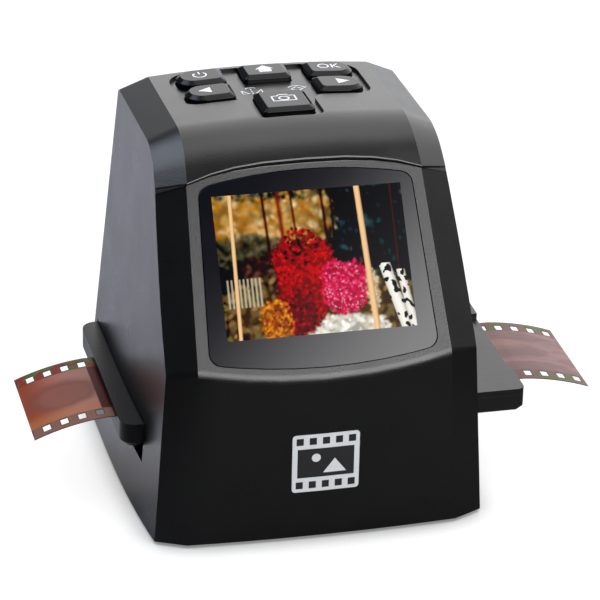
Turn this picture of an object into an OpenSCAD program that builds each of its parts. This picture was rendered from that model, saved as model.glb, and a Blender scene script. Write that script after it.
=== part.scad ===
// Desktop film scanner: a moulded housing with a sloping screen, six keys on
// its top, and a film tray that slides right through both side walls.
// Frame: +Z up, +X to the right of someone who faces the screen, -Y the front.
// Origin: middle of the footprint, on the surface that the rubber feet stand on.

/* [Housing] */
// Depth of the housing along its middle
body_d = 87; // [84:0.5:92]
// Height of the roof over the keys
roof_z = 102.2; // [99:0.2:106]
// Height of the housing's bottom rim over the table
rim_z = 1; // [0.6:0.1:2]
// Half width of the housing at the bottom rim, at the back
foot_half_w = 47.8; // [46:0.2:50]
// How much narrower the bottom rim is at the front, each side
foot_taper = 4.1; // [2:0.1:5]
// Half width of the housing at the height of its shoulders
shoulder_half_w = 38.4; // [37:0.2:40]
// Height of the shoulders, where the half width above is met
shoulder_z = 95; // [90:1:98]
// Wall thickness of the moulded casings
wall = 2.2; // [1.8:0.1:2.6]
// Width of the chamfer down each front corner
chamfer_w = 7.4; // [6:0.2:9]
// How far the chamfer falls back from the face at the side wall
chamfer_drop = 3.6; // [2.5:0.1:4.4]
// Forward bow of the front face between its corners, at the rim
bow_rim = 1.3; // [0.4:0.1:2.5]
// Forward bow of the front face under the screen
bow_lip = 2.1; // [1:0.1:3]
// Height of the crown of the roof over its width
crown = 1.4; // [0.6:0.1:2]
// Fall of the roof towards the back
roof_fall = 1.5; // [0.5:0.1:3]
// Distance of the roof's highest line behind the front
peak_from_front = 46.2; // [44:0.2:48]

/* [Screen facet] */
// Lean of the screen facet back from upright
facet_tilt = 34.1; // [28:0.1:40]
// Height of the picture's centre
facet_z = 72.5; // [70:0.5:75]
// Width of the facet between the glass and the lip under it, at the middle
lip_border = 3; // [1.5:0.1:4]
// Width of the facet between the glass and the brow over it, at the middle
brow_border = 1.7; // [0.8:0.1:2.5]
// How much lower the brow sits at its ends
brow_sag = 4; // [2:0.1:5]
// Step by which the brow stands out over the facet
brow_step = 1.9; // [1:0.1:3]
// Radius of the soft lip under the screen
lip_r = 5; // [4.6:0.1:8]
// Radius of the forehead above the brow
forehead_r = 20; // [14:1:22]

/* [Screen] */
// Picture width
picture_w = 50.4; // [48:0.2:52]
// Picture height
picture_h = 37.8; // [36:0.2:39]
// Black border of the glass beside the picture, near the top
border_top_side = 3.2; // [2.4:0.1:3.6]
// Black border of the glass beside the picture, near the bottom
border_low_side = 5.2; // [4.4:0.1:5.6]
// Black border of the glass over the picture, at the middle
border_up = 5.5; // [4.4:0.1:6]
// Black border of the glass under the picture, at the middle
border_down = 8.7; // [7.5:0.1:9]
// Rise of the curved top and bottom edges of the glass
glass_arc = 3; // [1:0.1:4]
// Corner radius of the glass
glass_corner_r = 3.5; // [2:0.1:5]
// Thickness of the window glass
glass_t = 1.2; // [0.8:0.1:1.4]
// Metal edge of the display module beside the picture
lcd_side = 4.9; // [4:0.1:5.4]
// Metal edge of the display module over and under the picture
lcd_edge = 2.4; // [2:0.1:3]
// Thickness of the display module
lcd_t = 2.4; // [2:0.1:3]
// Thickness of the foam gasket before it is pressed
gasket_t = 0.6; // [0.4:0.1:1]

/* [Keys] */
// Width of a key
key_w = 13; // [12:0.1:13.5]
// Depth of a side key
key_d = 10.3; // [9.5:0.1:10.6]
// Width of the capture key
capture_w = 14; // [13:0.1:14.5]
// Depth of the capture key
capture_d = 14.2; // [13:0.1:15]
// Sideways distance of the outer key columns from the middle
key_col_x = 17.75; // [17.4:0.05:18.4]
// Distance from the housing's back to the middle of the back key row
keys_from_back = 9.9; // [9.6:0.1:10.4]
// Distance from the back key row to the arrow keys
row_pitch = 11.8; // [11.6:0.1:12.2]
// Distance from the arrow keys to the capture key
capture_pitch = 11.6; // [11:0.1:12]
// Height of a key over the pocket floor
key_rise = 2.1; // [1.6:0.1:2.6]
// Width of the bevel round a key's top
key_bevel = 1.3; // [0.8:0.1:1.6]
// Gap round a key in its opening
key_gap = 0.25; // [0.2:0.05:0.4]
// Travel of a key
key_travel = 0.6; // [0.3:0.05:0.7]
// Depth of the shallow pocket that the keys stand in
pocket_depth = 0.9; // [0.5:0.1:1.1]

/* [Tray] */
// Length of the film tray
tray_len = 110.6; // [108:0.2:114]
// How far the tray sits to the right of the middle when it is seated
tray_shift = 5.3; // [3:0.1:8]
// Distance of the tray's front edge behind the housing's front
tray_from_front = 21; // [20:0.1:24]
// Distance of the tray's back edge from the housing's back
tray_from_back = 3.8; // [3.7:0.1:6]
// How far the film runs in front of the tray's middle line
film_offset = 4.3; // [3:0.1:6]
// Height of the tray's top face over the table
tray_top_z = 27.5; // [26:0.1:29]
// Thickness of the tray's hinged lid
lid_t = 1.8; // [1.4:0.1:2.2]
// Thickness of the closed tray
tray_t = 7.1; // [6:0.1:7.6]
// Radius of the tray's corners at its left end
tray_r = 4; // [2:0.2:6]
// Radius of the tray's corners at its right end
tray_end_r = 2; // [1.8:0.1:4]
// Radius of the long lower edges of the tray
tray_edge_r = 1.6; // [0.8:0.1:2.2]
// Running gap between the tray and its guides
tray_gap = 0.3; // [0.2:0.05:0.5]
// How far the tray pulls out to the right
tray_travel = 100; // [40:1:100]
// Diameter of the lid's hinge pins
hinge_pin_d = 1.2; // [1:0.1:1.4]
// Depth of the notch in the lid where the film comes out
lid_notch = 2.8; // [1.5:0.1:4]

/* [Film] */
// Width of the film
film_w = 35; // [34.9:0.05:35.1]
// Thickness of the film
film_t = 0.16; // [0.14:0.01:0.18]
// Pitch of the film's perforations
perf_pitch = 4.75; // [4.7:0.01:4.8]
// Length of a perforation across the film
perf_w = 2.8; // [2.6:0.1:3]
// Length of a perforation along the film
perf_l = 1.98; // [1.8:0.02:2.1]
// Distance of the first perforation to the right of the housing's middle
perf_start = 3.5; // [0:0.05:4.7]
// Least distance of a perforation's centre from the film's cut ends
perf_margin = 1.6; // [1.4:0.1:2.4]
// Distance between the centres of the two perforation rows
perf_rows = 28.17; // [28:0.01:28.3]
// Length of film that hangs out at the left of the tray
film_left = 21.6; // [12:0.1:28]
// Length of film that hangs out at the right of the tray
film_right = 21.2; // [12:0.1:30]
// Depth by which the left end hangs down
droop_left = 4.9; // [2:0.1:6]
// Depth by which the right end hangs down
droop_right = 4.3; // [2:0.1:6]
// Gap above and below the film in its channel
film_gap = 0.12; // [0.08:0.01:0.2]

/* [Optics] */
// Width of one film frame
frame_w = 36; // [35:0.5:37]
// Height of one film frame
frame_h = 24; // [23:0.5:25]
// Height of the lens barrel's lower end over the table
lens_z = 58; // [50:1:60]
// Length of the lens barrel
lens_len = 16; // [12:0.5:17]
// Outer diameter of the lens barrel
lens_d = 14; // [12:0.5:16]
// Diameter of the lens glass
glass_d = 9; // [7:0.5:9.5]
// Side of the square sensor board
sensor_board_w = 30; // [26:0.5:32]
// Thickness of the circuit boards
board_t = 1.2; // [1:0.1:1.6]

/* [Fastening] */
// Diameter of a rubber foot
foot_d = 9; // [7:0.5:10]
// Outer diameter of a screw post
post_d = 6.6; // [5.8:0.2:7]
// Diameter of a self-tapping screw's shank
screw_d = 2; // [1.8:0.1:2.2]
// Diameter of a screw's head
screw_head_d = 3.8; // [3.2:0.1:4]
// Gap between pieces that are fitted together
fit_gap = 0.15; // [0.1:0.05:0.25]

/* [Ports] */
// Width of the power and data inlet's opening
usb_w = 9; // [8.6:0.1:9.6]
// Height of the power and data inlet's opening
usb_h = 3.4; // [3.2:0.1:3.8]
// Width of the memory card's slot
card_w = 25; // [24.6:0.1:26]
// Height of the memory card's slot
card_h = 3; // [2.6:0.1:3.4]
// Height of the ports' centres over the table
port_z = 44; // [40:1:60]

/* [Hidden] */

// Working sizes that follow from the ones above
front_y = -body_d / 2;
back_y = body_d / 2;
glass_top_half_w = picture_w / 2 + border_top_side;
glass_low_half_w = picture_w / 2 + border_low_side;
glass_up = picture_h / 2 + border_up;
glass_down = picture_h / 2 + border_down;
brow_v = glass_up + brow_border;
facet_back = (glass_down + lip_border) * sin(facet_tilt);
facet_y = front_y + facet_back;
lcd_w = picture_w + 2 * lcd_side;
lcd_h = picture_h + 2 * lcd_edge;
back_row_y = back_y - keys_from_back;
arrow_row_y = back_row_y - row_pitch;
capture_y = arrow_row_y - capture_pitch;
smooth = 64;                       // segments of a round bore or post
overlap = 1;                       // how far a cutter runs past what it cuts
far = 60;                          // half size of a block that clips the whole body
roof_peak_y = front_y + peak_from_front;
roof_lean = atan(roof_fall / (back_y - roof_peak_y));
crown_half_w = shoulder_half_w - chamfer_w; // half width of the roof between its chamfers
brow_half_w = 31.5;                // half width that the brow's sag is measured over
chamfer_reach = 12;                // how far the chamfer's plane runs on past its corner
cut_reach = far / 3;               // how far the inner form runs on below and behind
thin_post_d = post_d - 1.4;        // outer diameter of a post for a short screw

// ---- Point helpers -------------------------------------------------------

function unit(v) = v / norm(v);
function left_normal(a, b) = let (d = unit(b - a)) [-d[1], d[0]];

// Where two lines cross, each given by a point and a direction.
function cross_at(p, d, q, e) =
    let (k = ((q[0] - p[0]) * e[1] - (q[1] - p[1]) * e[0]) / (d[0] * e[1] - d[1] * e[0]))
    p + k * d;

// The corners of an outline, moved in by a distance. Corners run clockwise
// seen with Y to the right and Z up, so the material lies to their right.
function moved_in(c, gap) =
    [for (i = [0:len(c) - 1])
        let (a = c[(i + len(c) - 1) % len(c)], b = c[i], e = c[(i + 1) % len(c)],
             shift_in = -gap * left_normal(a, b), shift_out = -gap * left_normal(b, e))
        cross_at(a + shift_in, b - a, b + shift_out, e - b)];

// An arc of steps + 1 points in place of corner b of the path a, b, e. Its
// radius is limited by the shorter of the two sides.
function arc_corner(a, b, e, r, steps) =
    let (u = unit(a - b), w = unit(e - b),
         half = acos(max(-1, min(1, u * w))) / 2,
         reach = min(r / tan(half), 0.92 * min(norm(a - b), norm(e - b))),
         fit_r = reach * tan(half), mid = b + unit(u + w) * fit_r / sin(half),
         first = b + u * reach - mid, last = b + w * reach - mid,
         turn = atan2(first[0] * last[1] - first[1] * last[0], first * last))
    [for (k = [0:steps])
        let (t = turn * k / steps)
        mid + [first[0] * cos(t) - first[1] * sin(t), first[0] * sin(t) + first[1] * cos(t)]];

// A closed outline with every corner rounded by its own radius.
function rounded(c, radii, steps) =
    [for (i = [0:len(c) - 1])
        let (a = c[(i + len(c) - 1) % len(c)], b = c[i], e = c[(i + 1) % len(c)])
        each (radii[i] > 0 ? arc_corner(a, b, e, radii[i], steps[i]) : [b])];

// ---- The housing's form --------------------------------------------------

// Half width of the side wall at a place along the depth and a height.
function rim_half_w(y) =
    let (along = min(1, max(0, (y - front_y) / (body_d * 0.86))))
    foot_half_w - foot_taper * pow(1 - along, 2.8);
function side_half_w(y, z) =
    shoulder_half_w + (rim_half_w(y) - shoulder_half_w) * (shoulder_z - z) / shoulder_z;

// Half width of the flat between the chamfers, at each corner of the profile.
function flat_half_w(y, z) = side_half_w(y, z) - chamfer_w;

// Side profile of the housing at a share s of its half width, 0 in the middle
// and 1 at the chamfers, as corners from the front rim round to the back rim.
// The brow's step is left out of the chamfer's plane.
facet_up = [sin(facet_tilt), cos(facet_tilt)];
facet_mid = [facet_y, facet_z];
forehead_lean = 45;
forehead_up = [cos(forehead_lean), sin(forehead_lean)];
blend_l = 1.5;                     // half length of the blend that replaces the step
function step_at(s) = brow_step * (1 - 0.45 * s * s);
function profile_corners(s, stepped) =
    let (x = s * crown_half_w,
         rim = [front_y + bow_rim * s * s, rim_z],
         face_top = [front_y + bow_lip * s * s, facet_z - facet_back / tan(facet_tilt)],
         lip = cross_at(rim, face_top - rim, facet_mid, facet_up),
         v = brow_v - brow_sag * pow(abs(x) / brow_half_w, 3),
         crease = facet_mid + v * facet_up,
         brow = crease + step_at(s) * [-forehead_up[1], forehead_up[0]],
         low = stepped ? crease : crease - blend_l * facet_up,
         high = stepped ? brow : crease + blend_l * forehead_up,
         drop = crown * s * s,
         roof_front = [roof_peak_y, roof_z - drop],
         roof_back = [back_y - 0.3, roof_z - drop - roof_fall],
         peak = cross_at(high, forehead_up, roof_front, roof_back - roof_front))
    [rim, lip, low, high, peak, roof_back, [back_y, rim_z]];

profile_steps = [0, 5, 2, 2, 7, 4, 0];
function profile_radii(s, inset, stepped) =
    [0, max(0.4, lip_r - inset), stepped ? 0.2 * step_at(s) : 5, stepped ? 0.3 * step_at(s) : 5,
     forehead_r - inset, max(0.5, 3 - inset), 0];

// One station of the body: profile points at a share of the half width, or out
// on the chamfer's plane, where the whole profile is moved in.
function station(share, inset, reach) =
    let (side = sign(share), on_chamfer = abs(share) > 1,
         s = on_chamfer ? 1 : abs(share),
         fall = on_chamfer ? chamfer_drop * chamfer_reach / chamfer_w : 0,
         deep = inset + fall,
         outline = rounded(moved_in(profile_corners(s, !on_chamfer), deep),
                           profile_radii(s, deep, !on_chamfer), profile_steps),
         last = len(outline) - 1, back_from = last - profile_steps[5] - 1)
    [for (i = [0:last])
        let (p = outline[i],
             flat = flat_half_w(p[0], p[1]) - inset * 0.4,
             x = on_chamfer ? side * (flat + chamfer_reach) : side * s * flat,
             y = p[0] + (i >= back_from ? (reach + fall) : 0),
             z = p[1] - (i == 0 || i == last ? (reach + fall) : 0)
                 - (i >= back_from && i < last ? (reach + fall) * tan(roof_lean) : 0))
        [x, y, z]];

shares = [-2, -1, -0.8, -0.6, -0.35, 0, 0.35, 0.6, 0.8, 1, 2];

// The body as a loft through its stations. reach runs it on below and behind,
// to cut a cavity open at the bottom and the back.
module body_loft(inset, reach) {
    rings = [for (share = shares) station(share, inset, reach)];
    n = len(rings[0]);
    m = len(rings);
    points = [for (ring = rings) each ring];
    skin = [for (i = [0:m - 2], j = [0:n - 1])
        let (a = i * n + j, b = i * n + (j + 1) % n, c = a + n, d = b + n)
        each [[a, b, d], [a, d, c]]];
    polyhedron(points, concat([[for (j = [n - 1:-1:0]) j]], skin,
        [[for (j = [0:n - 1]) (m - 1) * n + j]]));
}

// The draft of the side walls: a block whose base follows the rim, as rings at
// several heights. Each ring runs back along the right side, forward on the left.
side_rows = [-far, for (d = [0, 4, 8, 13, 18, 24, 30, 38, 48, 60]) front_y + d, back_y, far];
side_levels = [-30, 15, 45, 75, 120];
module side_draft(inset) {
    rows = len(side_rows);
    n = 2 * rows;
    points = [for (z = side_levels, side = [1, -1], k = [0:rows - 1])
        let (i = side > 0 ? k : rows - 1 - k, y = side_rows[i])
        [side * (side_half_w(y, z) - inset), y, z]];
    skin = [for (level = [0:len(side_levels) - 2], j = [0:n - 1])
        let (a = level * n + j, b = level * n + (j + 1) % n)
        each [[a, a + n, b + n], [a, b + n, b]]];
    top = (len(side_levels) - 1) * n;
    polyhedron(points, concat([[for (j = [0:n - 1]) j]], skin, [[for (j = [n - 1:-1:0]) top + j]]));
}

module body_form(inset, reach = 0) {
    intersection() {
        body_loft(inset, reach);
        side_draft(inset);
    }
}

// ---- Frames that pieces are placed in -------------------------------------

// On the screen facet: X across, Y up the slope, Z out of the glass.
module on_facet() {
    translate([0, facet_y, facet_z]) rotate([90 - facet_tilt, 0, 0]) children();
}

// Height and sideways lean of the crowned roof at a place.
function roof_at(x, y) = roof_z - crown * pow(x / crown_half_w, 2) - (y - roof_peak_y) * tan(roof_lean);
function side_lean(x) = atan(2 * crown * x / pow(crown_half_w, 2));

// On the pocket floor under a key, square to the roof there.
module on_key(x, y) {
    translate([x, y, roof_at(x, y) - pocket_depth]) rotate([-roof_lean, side_lean(x), 0]) children();
}

// On the roof's middle line, parallel to its fall.
deck_y = arrow_row_y;
module on_deck() {
    translate([0, deck_y, roof_at(0, deck_y)]) rotate([-roof_lean, 0, 0]) children();
}

module mirrored_x() {
    children();
    mirror([1, 0, 0]) children();
}

// A post with a rib that runs out to the wall beside it.
module wall_post(x, y, z0, z1, rib) {
    translate([x, y, z0]) cylinder(d = post_d, h = z1 - z0, $fn = smooth);
    translate([x, y - wall / 2, z0]) cube([rib, wall, z1 - z0]);
}

// A self-tapping screw, its head's flat side at Z 0 and its shank above.
head_t = 1.2;
head_depth = 0.2;                              // how deep a head lies under the surface
module screw(reach) {
    translate([0, 0, -head_t]) cylinder(d = screw_head_d, h = head_t, $fn = smooth);
    cylinder(d = screw_d, h = reach, $fn = smooth);
}
pilot_d = screw_d + 0.1;
pass_d = screw_d + 0.4;
head_room_d = screw_head_d + 0.4;

// ---- Places that pieces share ---------------------------------------------

plate_t = 2;                                   // thickness of the flat moulded plates
plate_z = rim_z + 0.4;                         // underside of the base plate
cover_y = back_y - 2.1;                        // front face of the rear cover
post_reach = 8;                                // length of a screw in its post
post_inset = 6.2;                              // from a wall's inner face to a post's axis
function beside_wall(y, z) = side_half_w(y, z) - wall - post_inset;
shell_posts = [for (y = [front_y + 9.5, back_y - 9.5]) [beside_wall(y, rim_z), y]];
shell_post_top = plate_z + plate_t + 10;
rear_boss_y = cover_y - 9;
rear_bosses = [for (z = [roof_z - 18.2, tray_top_z + 7.1]) [beside_wall(cover_y, z) + 2.3, z]];
feet_at = [for (y = [front_y + 9, back_y - 10]) [foot_half_w / 2, y]];
foot_r = foot_d / 2;

tray_low_y = front_y + tray_from_front;
tray_back_y = back_y - tray_from_back;
tray_w = tray_back_y - tray_low_y;
tray_low_z = tray_top_z - tray_t;
tray_left = tray_shift - tray_len / 2;
tray_right = tray_shift + tray_len / 2;
slot_end_gap = 0.5;
slot_under = 3.9;
slot_low_z = tray_low_z - slot_under;
slot_top_z = tray_top_z + 0.6;
film_y = tray_back_y - tray_w / 2 - film_offset; // middle line of the film
film_z = tray_top_z - lid_t - film_gap - film_t / 2;
split_z = tray_top_z - lid_t;                  // where the lid lies on the tray's base

rail_top_z = tray_top_z + 0.35;
guide_z = slot_low_z - 2.2;                    // underside of the guide
runner_t = 2;
front_rail_y = tray_low_y - tray_gap;
back_rail_y = tray_back_y + tray_gap;
rail_front = front_rail_y - 3;
rail_half_len = side_half_w(rail_front, rail_top_z) - wall - 1;
rail_back = cover_y - 0.2;
runner_front = film_y - film_w / 2 - 1.8;
runner_back = film_y + film_w / 2 + 1.8;
gate_w = frame_w + 4;                          // opening in the guide under the film
gate_d = frame_h + 5;

// ---- Housing ---------------------------------------------------------------

// Outline of the window glass, as seen square on. Clockwise, so it can be moved in.
arc_steps = 8;
function glass_corners() = concat(
    [for (k = [0:arc_steps]) let (u = 2 * k / arc_steps - 1)
        [u * glass_top_half_w, glass_up - glass_arc * u * u]],
    [for (k = [0:arc_steps]) let (u = 1 - 2 * k / arc_steps)
        [u * glass_low_half_w, -glass_down + glass_arc * u * u]]);
function glass_radii() =
    [for (row = [0, 1], k = [0:arc_steps]) k == 0 || k == arc_steps ? glass_corner_r : 0];
function glass_steps() = [for (k = [0:2 * arc_steps + 1]) 4];
module glass_shape(inset) {
    polygon(rounded(moved_in(glass_corners(), inset), glass_radii(), glass_steps()));
}

// Opening behind the glass that the picture shows through.
view_margin = 1;
module view_opening(depth) {
    translate([-picture_w / 2 - view_margin, -picture_h / 2 - view_margin, -depth])
        cube([picture_w + 2 * view_margin, picture_h + 2 * view_margin, depth + overlap]);
}

// Posts behind the facet that carry the display bracket.
bracket_post_x = 25;
bracket_post_v = lcd_h / 2 + 3.1;
bracket_post_d = 4.6;
stack_t = gasket_t + lcd_t;
module at_bracket_posts() {
    on_facet() for (x = [-1, 1], v = [-1, 1])
        translate([x * bracket_post_x, v * bracket_post_v, -wall]) children();
}

// Posts under the roof that carry the key board.
board_drop = 8;
keys_half_w = key_col_x + key_w / 2;
deck_posts = [[keys_half_w + 2.4, capture_y - 0.7], [keys_half_w + 4.2, back_row_y + 0.4]];
mid_post_y = (back_row_y - key_d / 2 + capture_y + capture_d / 2) / 2;
module at_deck_posts() {
    on_deck() {
        for (p = deck_posts, side = [-1, 1])
            translate([side * p[0], p[1] - deck_y, -board_drop]) children();
        translate([0, mid_post_y - deck_y, -board_drop]) children();
    }
}

// Outline of a key, seen from above. A side key is round at its outer end.
module key_shape(w, d, outer_r, grow) {
    inner_r = 1;
    corners = [[-w / 2, -d / 2], [-w / 2, d / 2], [w / 2, d / 2], [w / 2, -d / 2]];
    radii = [outer_r, outer_r, inner_r, inner_r];
    polygon(rounded(moved_in(corners, -grow), [for (r = radii) r + grow], [6, 6, 3, 3]));
}
side_key_r = key_d / 2 - 0.3;
module left_key_shape(grow) { key_shape(key_w, key_d, side_key_r, grow); }
module square_key_shape(w, d, grow) { key_shape(w, d, 1, grow); }

// Where each key stands, and its outline.
module at_side_keys() {
    for (y = [back_row_y, arrow_row_y]) {
        on_key(-key_col_x, y) children();
        on_key(key_col_x, y) mirror([1, 0, 0]) children();
    }
}

// The shallow pocket that the keys stand in, seen from above.
module pocket_shape() {
    half_w = keys_half_w + 1.9;
    stem_w = capture_w / 2 + 2;
    back = back_row_y + key_d / 2 + 0.8;
    step_y = arrow_row_y - key_d / 2 - 1.3;
    low = capture_y - capture_d / 2 - 2.4;
    corners = [[-half_w, step_y], [-half_w, back], [half_w, back], [half_w, step_y],
        [stem_w, step_y], [stem_w, low], [-stem_w, low], [-stem_w, step_y]];
    polygon(rounded(corners, [5, 6, 6, 5, 3, 2.5, 2.5, 3], [for (c = corners) 5]));
}

module key_openings() {
    cut = wall + 2;
    at_side_keys() translate([0, 0, -cut]) linear_extrude(cut + overlap) left_key_shape(key_gap);
    on_key(0, back_row_y) translate([0, 0, -cut])
        linear_extrude(cut + overlap) square_key_shape(key_w, key_d, key_gap);
    on_key(0, capture_y) translate([0, 0, -cut])
        linear_extrude(cut + overlap) square_key_shape(capture_w, capture_d, key_gap);
}

// Slots in the side walls that the tray runs through.
module tray_slots() {
    low = tray_low_y - slot_end_gap;
    high = tray_back_y + slot_end_gap;
    translate([-far, low, slot_low_z]) cube([2 * far, high - low, slot_top_z - slot_low_z]);
}

module shell_posts_solid() {
    intersection() {
        union() {
            mirrored_x() for (p = shell_posts)
                wall_post(p[0], p[1], plate_z + plate_t, shell_post_top, 12);
            mirrored_x() for (p = rear_bosses) {
                translate([p[0], cover_y, p[1]]) rotate([90, 0, 0])
                    cylinder(d = post_d, h = cover_y - rear_boss_y, $fn = smooth);
                translate([p[0], rear_boss_y, p[1] - wall / 2])
                    cube([12, cover_y - rear_boss_y, wall]);
            }
            at_deck_posts() cylinder(d = thin_post_d, h = far / 3, $fn = smooth);
            at_bracket_posts() translate([0, 0, -stack_t])
                cylinder(d = bracket_post_d, h = stack_t + wall, $fn = smooth);
        }
        body_form(wall / 2, wall / 2);
    }
}

module shell_pilots() {
    mirrored_x() for (p = shell_posts)
        translate([p[0], p[1], 0]) cylinder(d = pilot_d, h = plate_z + plate_t + post_reach, $fn = smooth);
    mirrored_x() for (p = rear_bosses)
        translate([p[0], cover_y + overlap, p[1]]) rotate([90, 0, 0])
            cylinder(d = pilot_d, h = post_reach + overlap, $fn = smooth);
    at_deck_posts() translate([0, 0, -overlap])
        cylinder(d = pilot_d, h = overlap + 4, $fn = smooth);
    at_bracket_posts() translate([0, 0, -stack_t - overlap])
        cylinder(d = pilot_d, h = overlap + stack_t, $fn = smooth);
}

module housing_shell() {
    color([0.11, 0.11, 0.12]) difference() {
        union() {
            difference() {
                body_form(0);
                body_form(wall, cut_reach);
            }
            shell_posts_solid();
        }
        shell_pilots();
        on_facet() translate([0, 0, -glass_t]) linear_extrude(far / 10) glass_shape(-fit_gap);
        on_facet() view_opening(wall + overlap);
        difference() {
            translate([0, 0, roof_z - 8]) linear_extrude(far / 3) pocket_shape();
            body_form(pocket_depth, 0);
        }
        key_openings();
        tray_slots();
    }
}

module usb_opening() {
    translate([port_x, back_y + overlap, port_z]) rotate([90, 0, 0])
        linear_extrude(far / 10) square([usb_w, usb_h], center = true);
}
module card_opening() {
    translate([-port_x, back_y + overlap, port_z]) rotate([90, 0, 0])
        linear_extrude(far / 10) square([card_w, card_h], center = true);
}
port_x = 14;

module at_board_posts() {
    for (x = [-1, 1], z = [board_low_z + 3.5, board_top_z - 3.5])
        translate([x * (main_board_w / 2 - 3.5), cover_y, z]) rotate([90, 0, 0]) children();
}
board_low_z = port_z - 10.5;
board_top_z = roof_z - 16.2;
main_board_w = 2 * (beside_wall(cover_y, board_top_z) - 3.6);
board_gap = 4.4;                               // from the rear cover to the main board

module rear_cover() {
    color([0.12, 0.12, 0.13]) difference() {
        union() {
            intersection() {
                body_form(wall + fit_gap, cut_reach);
                translate([-far, cover_y, rim_z]) cube([2 * far, back_y - 0.2 - cover_y, 2 * far]);
            }
            at_board_posts() cylinder(d = thin_post_d, h = board_gap, $fn = smooth);
        }
        at_board_posts() cylinder(d = pilot_d, h = board_gap + overlap, $fn = smooth);
        mirrored_x() for (p = rear_bosses) translate([p[0], back_y + overlap, p[1]]) rotate([90, 0, 0]) {
            cylinder(d = pass_d, h = 6, $fn = smooth);
            cylinder(d = head_room_d, h = overlap + head_t + head_depth, $fn = smooth);
        }
        usb_opening();
        card_opening();
    }
}

// Feet, screws and posts pass through the base plate at these places.
guide_legs = [for (y = [tray_low_y + 1.8, runner_back + 0.4]) [rail_half_len - 6.5, y]];
module base_plate() {
    color([0.12, 0.12, 0.13]) difference() {
        intersection() {
            body_form(wall + fit_gap, cut_reach);
            translate([-far, -far, plate_z]) cube([2 * far, far + cover_y - fit_gap, plate_t]);
        }
        mirrored_x() for (p = concat(shell_posts, guide_legs)) translate([p[0], p[1], 0]) {
            cylinder(d = pass_d, h = far / 2, $fn = smooth);
            cylinder(d = head_room_d, h = plate_z + head_t, $fn = smooth);
        }
    }
}

module rubber_feet() {
    color([0.05, 0.05, 0.05]) mirrored_x() for (p = feet_at)
        translate([p[0], p[1], 0]) rotate_extrude($fn = smooth) polygon([[0, 0], [foot_r - 0.5, 0],
            [foot_r, 0.5], [foot_r, plate_z], [0, plate_z]]);
}

module base_screws() {
    color([0.6, 0.6, 0.62]) mirrored_x() for (p = shell_posts)
        translate([p[0], p[1], plate_z + head_t]) screw(post_reach);
}

module guide_screws() {
    color([0.6, 0.6, 0.62]) mirrored_x() for (p = guide_legs)
        translate([p[0], p[1], plate_z + head_t]) screw(post_reach);
}

module rear_screws() {
    color([0.6, 0.6, 0.62]) mirrored_x() for (p = rear_bosses)
        translate([p[0], back_y - head_t - head_depth, p[1]]) rotate([90, 0, 0]) screw(post_reach);
}

// ---- Screen ----------------------------------------------------------------

module screen_window() {
    color([0.03, 0.03, 0.04]) on_facet() translate([0, 0, -glass_t])
        linear_extrude(glass_t) glass_shape(0);
}

gasket_edge = 1.4;                             // width of the gasket's strips
module screen_gasket() {
    view_w = picture_w + 2 * view_margin;
    view_h = picture_h + 2 * view_margin;
    color([0.2, 0.2, 0.2]) on_facet() translate([0, 0, -wall - gasket_t]) linear_extrude(gasket_t)
        difference() {
            square([view_w + 2 * gasket_edge, view_h + 2 * gasket_edge], center = true);
            square([view_w, view_h], center = true);
        }
}

module lcd_panel() {
    color([0.35, 0.38, 0.45]) on_facet() translate([-lcd_w / 2, -lcd_h / 2, -wall - stack_t])
        cube([lcd_w, lcd_h, lcd_t]);
}

bracket_t = 1.6;
module lcd_bracket() {
    color([0.25, 0.25, 0.26]) difference() {
        on_facet() translate([0, 0, -wall - stack_t - bracket_t]) linear_extrude(bracket_t)
            union() {
                square([lcd_w + 1, lcd_h], center = true);
                for (x = [-1, 1]) translate([x * bracket_post_x, 0])
                    square([bracket_post_d + 2, 2 * bracket_post_v + bracket_post_d], center = true);
            }
        at_bracket_posts() translate([0, 0, -stack_t - bracket_t - overlap])
            cylinder(d = pass_d, h = bracket_t + 2 * overlap, $fn = smooth);
    }
}

module bracket_screws() {
    color([0.6, 0.6, 0.62]) at_bracket_posts() translate([0, 0, -stack_t - bracket_t])
        screw(bracket_t + stack_t - 0.2);
}

// ---- Keys ------------------------------------------------------------------

flange_t = 0.9;
flange_edge = 0.35;                            // how far a flange reaches under the roof
flange_gap = 0.25;
stem_len = 1.2;
stem_d = 4;
flange_z = -(wall - pocket_depth) - flange_gap - flange_t;
plunger_z = flange_z - stem_len - key_travel - 0.05;

// A key: a bevelled cap, a flange that holds it under the roof, and a stem.
module key_solid(w, d, outer_r) {
    bevel_h = 0.9;
    hull() {
        translate([0, 0, key_rise - bevel_h - 0.1]) linear_extrude(0.1) key_shape(w, d, outer_r, 0);
        translate([0, 0, key_rise - 0.1]) linear_extrude(0.1)
            key_shape(w - 2 * key_bevel, d - 2 * key_bevel, max(0.4, outer_r - key_bevel), 0);
    }
    translate([0, 0, flange_z]) linear_extrude(key_rise - bevel_h - flange_z) key_shape(w, d, outer_r, 0);
    translate([0, 0, flange_z]) linear_extrude(flange_t)
        key_shape(w, d, outer_r, key_gap + flange_edge);
    translate([0, 0, flange_z - stem_len]) cylinder(d = stem_d, h = stem_len + overlap / 2, $fn = smooth);
}
module side_key() { key_solid(key_w, key_d, side_key_r); }
key_color = [0.06, 0.06, 0.07];

module power_button() { color(key_color) on_key(-key_col_x, back_row_y) side_key(); }
module left_button() { color(key_color) on_key(-key_col_x, arrow_row_y) side_key(); }
module ok_button() {
    color(key_color) on_key(key_col_x, back_row_y) mirror([1, 0, 0]) side_key();
}
module right_button() {
    color(key_color) on_key(key_col_x, arrow_row_y) mirror([1, 0, 0]) side_key();
}
module home_button() { color(key_color) on_key(0, back_row_y) key_solid(key_w, key_d, 1); }
module capture_button() {
    color(key_color) on_key(0, capture_y) key_solid(capture_w, capture_d, 1);
}

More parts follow.
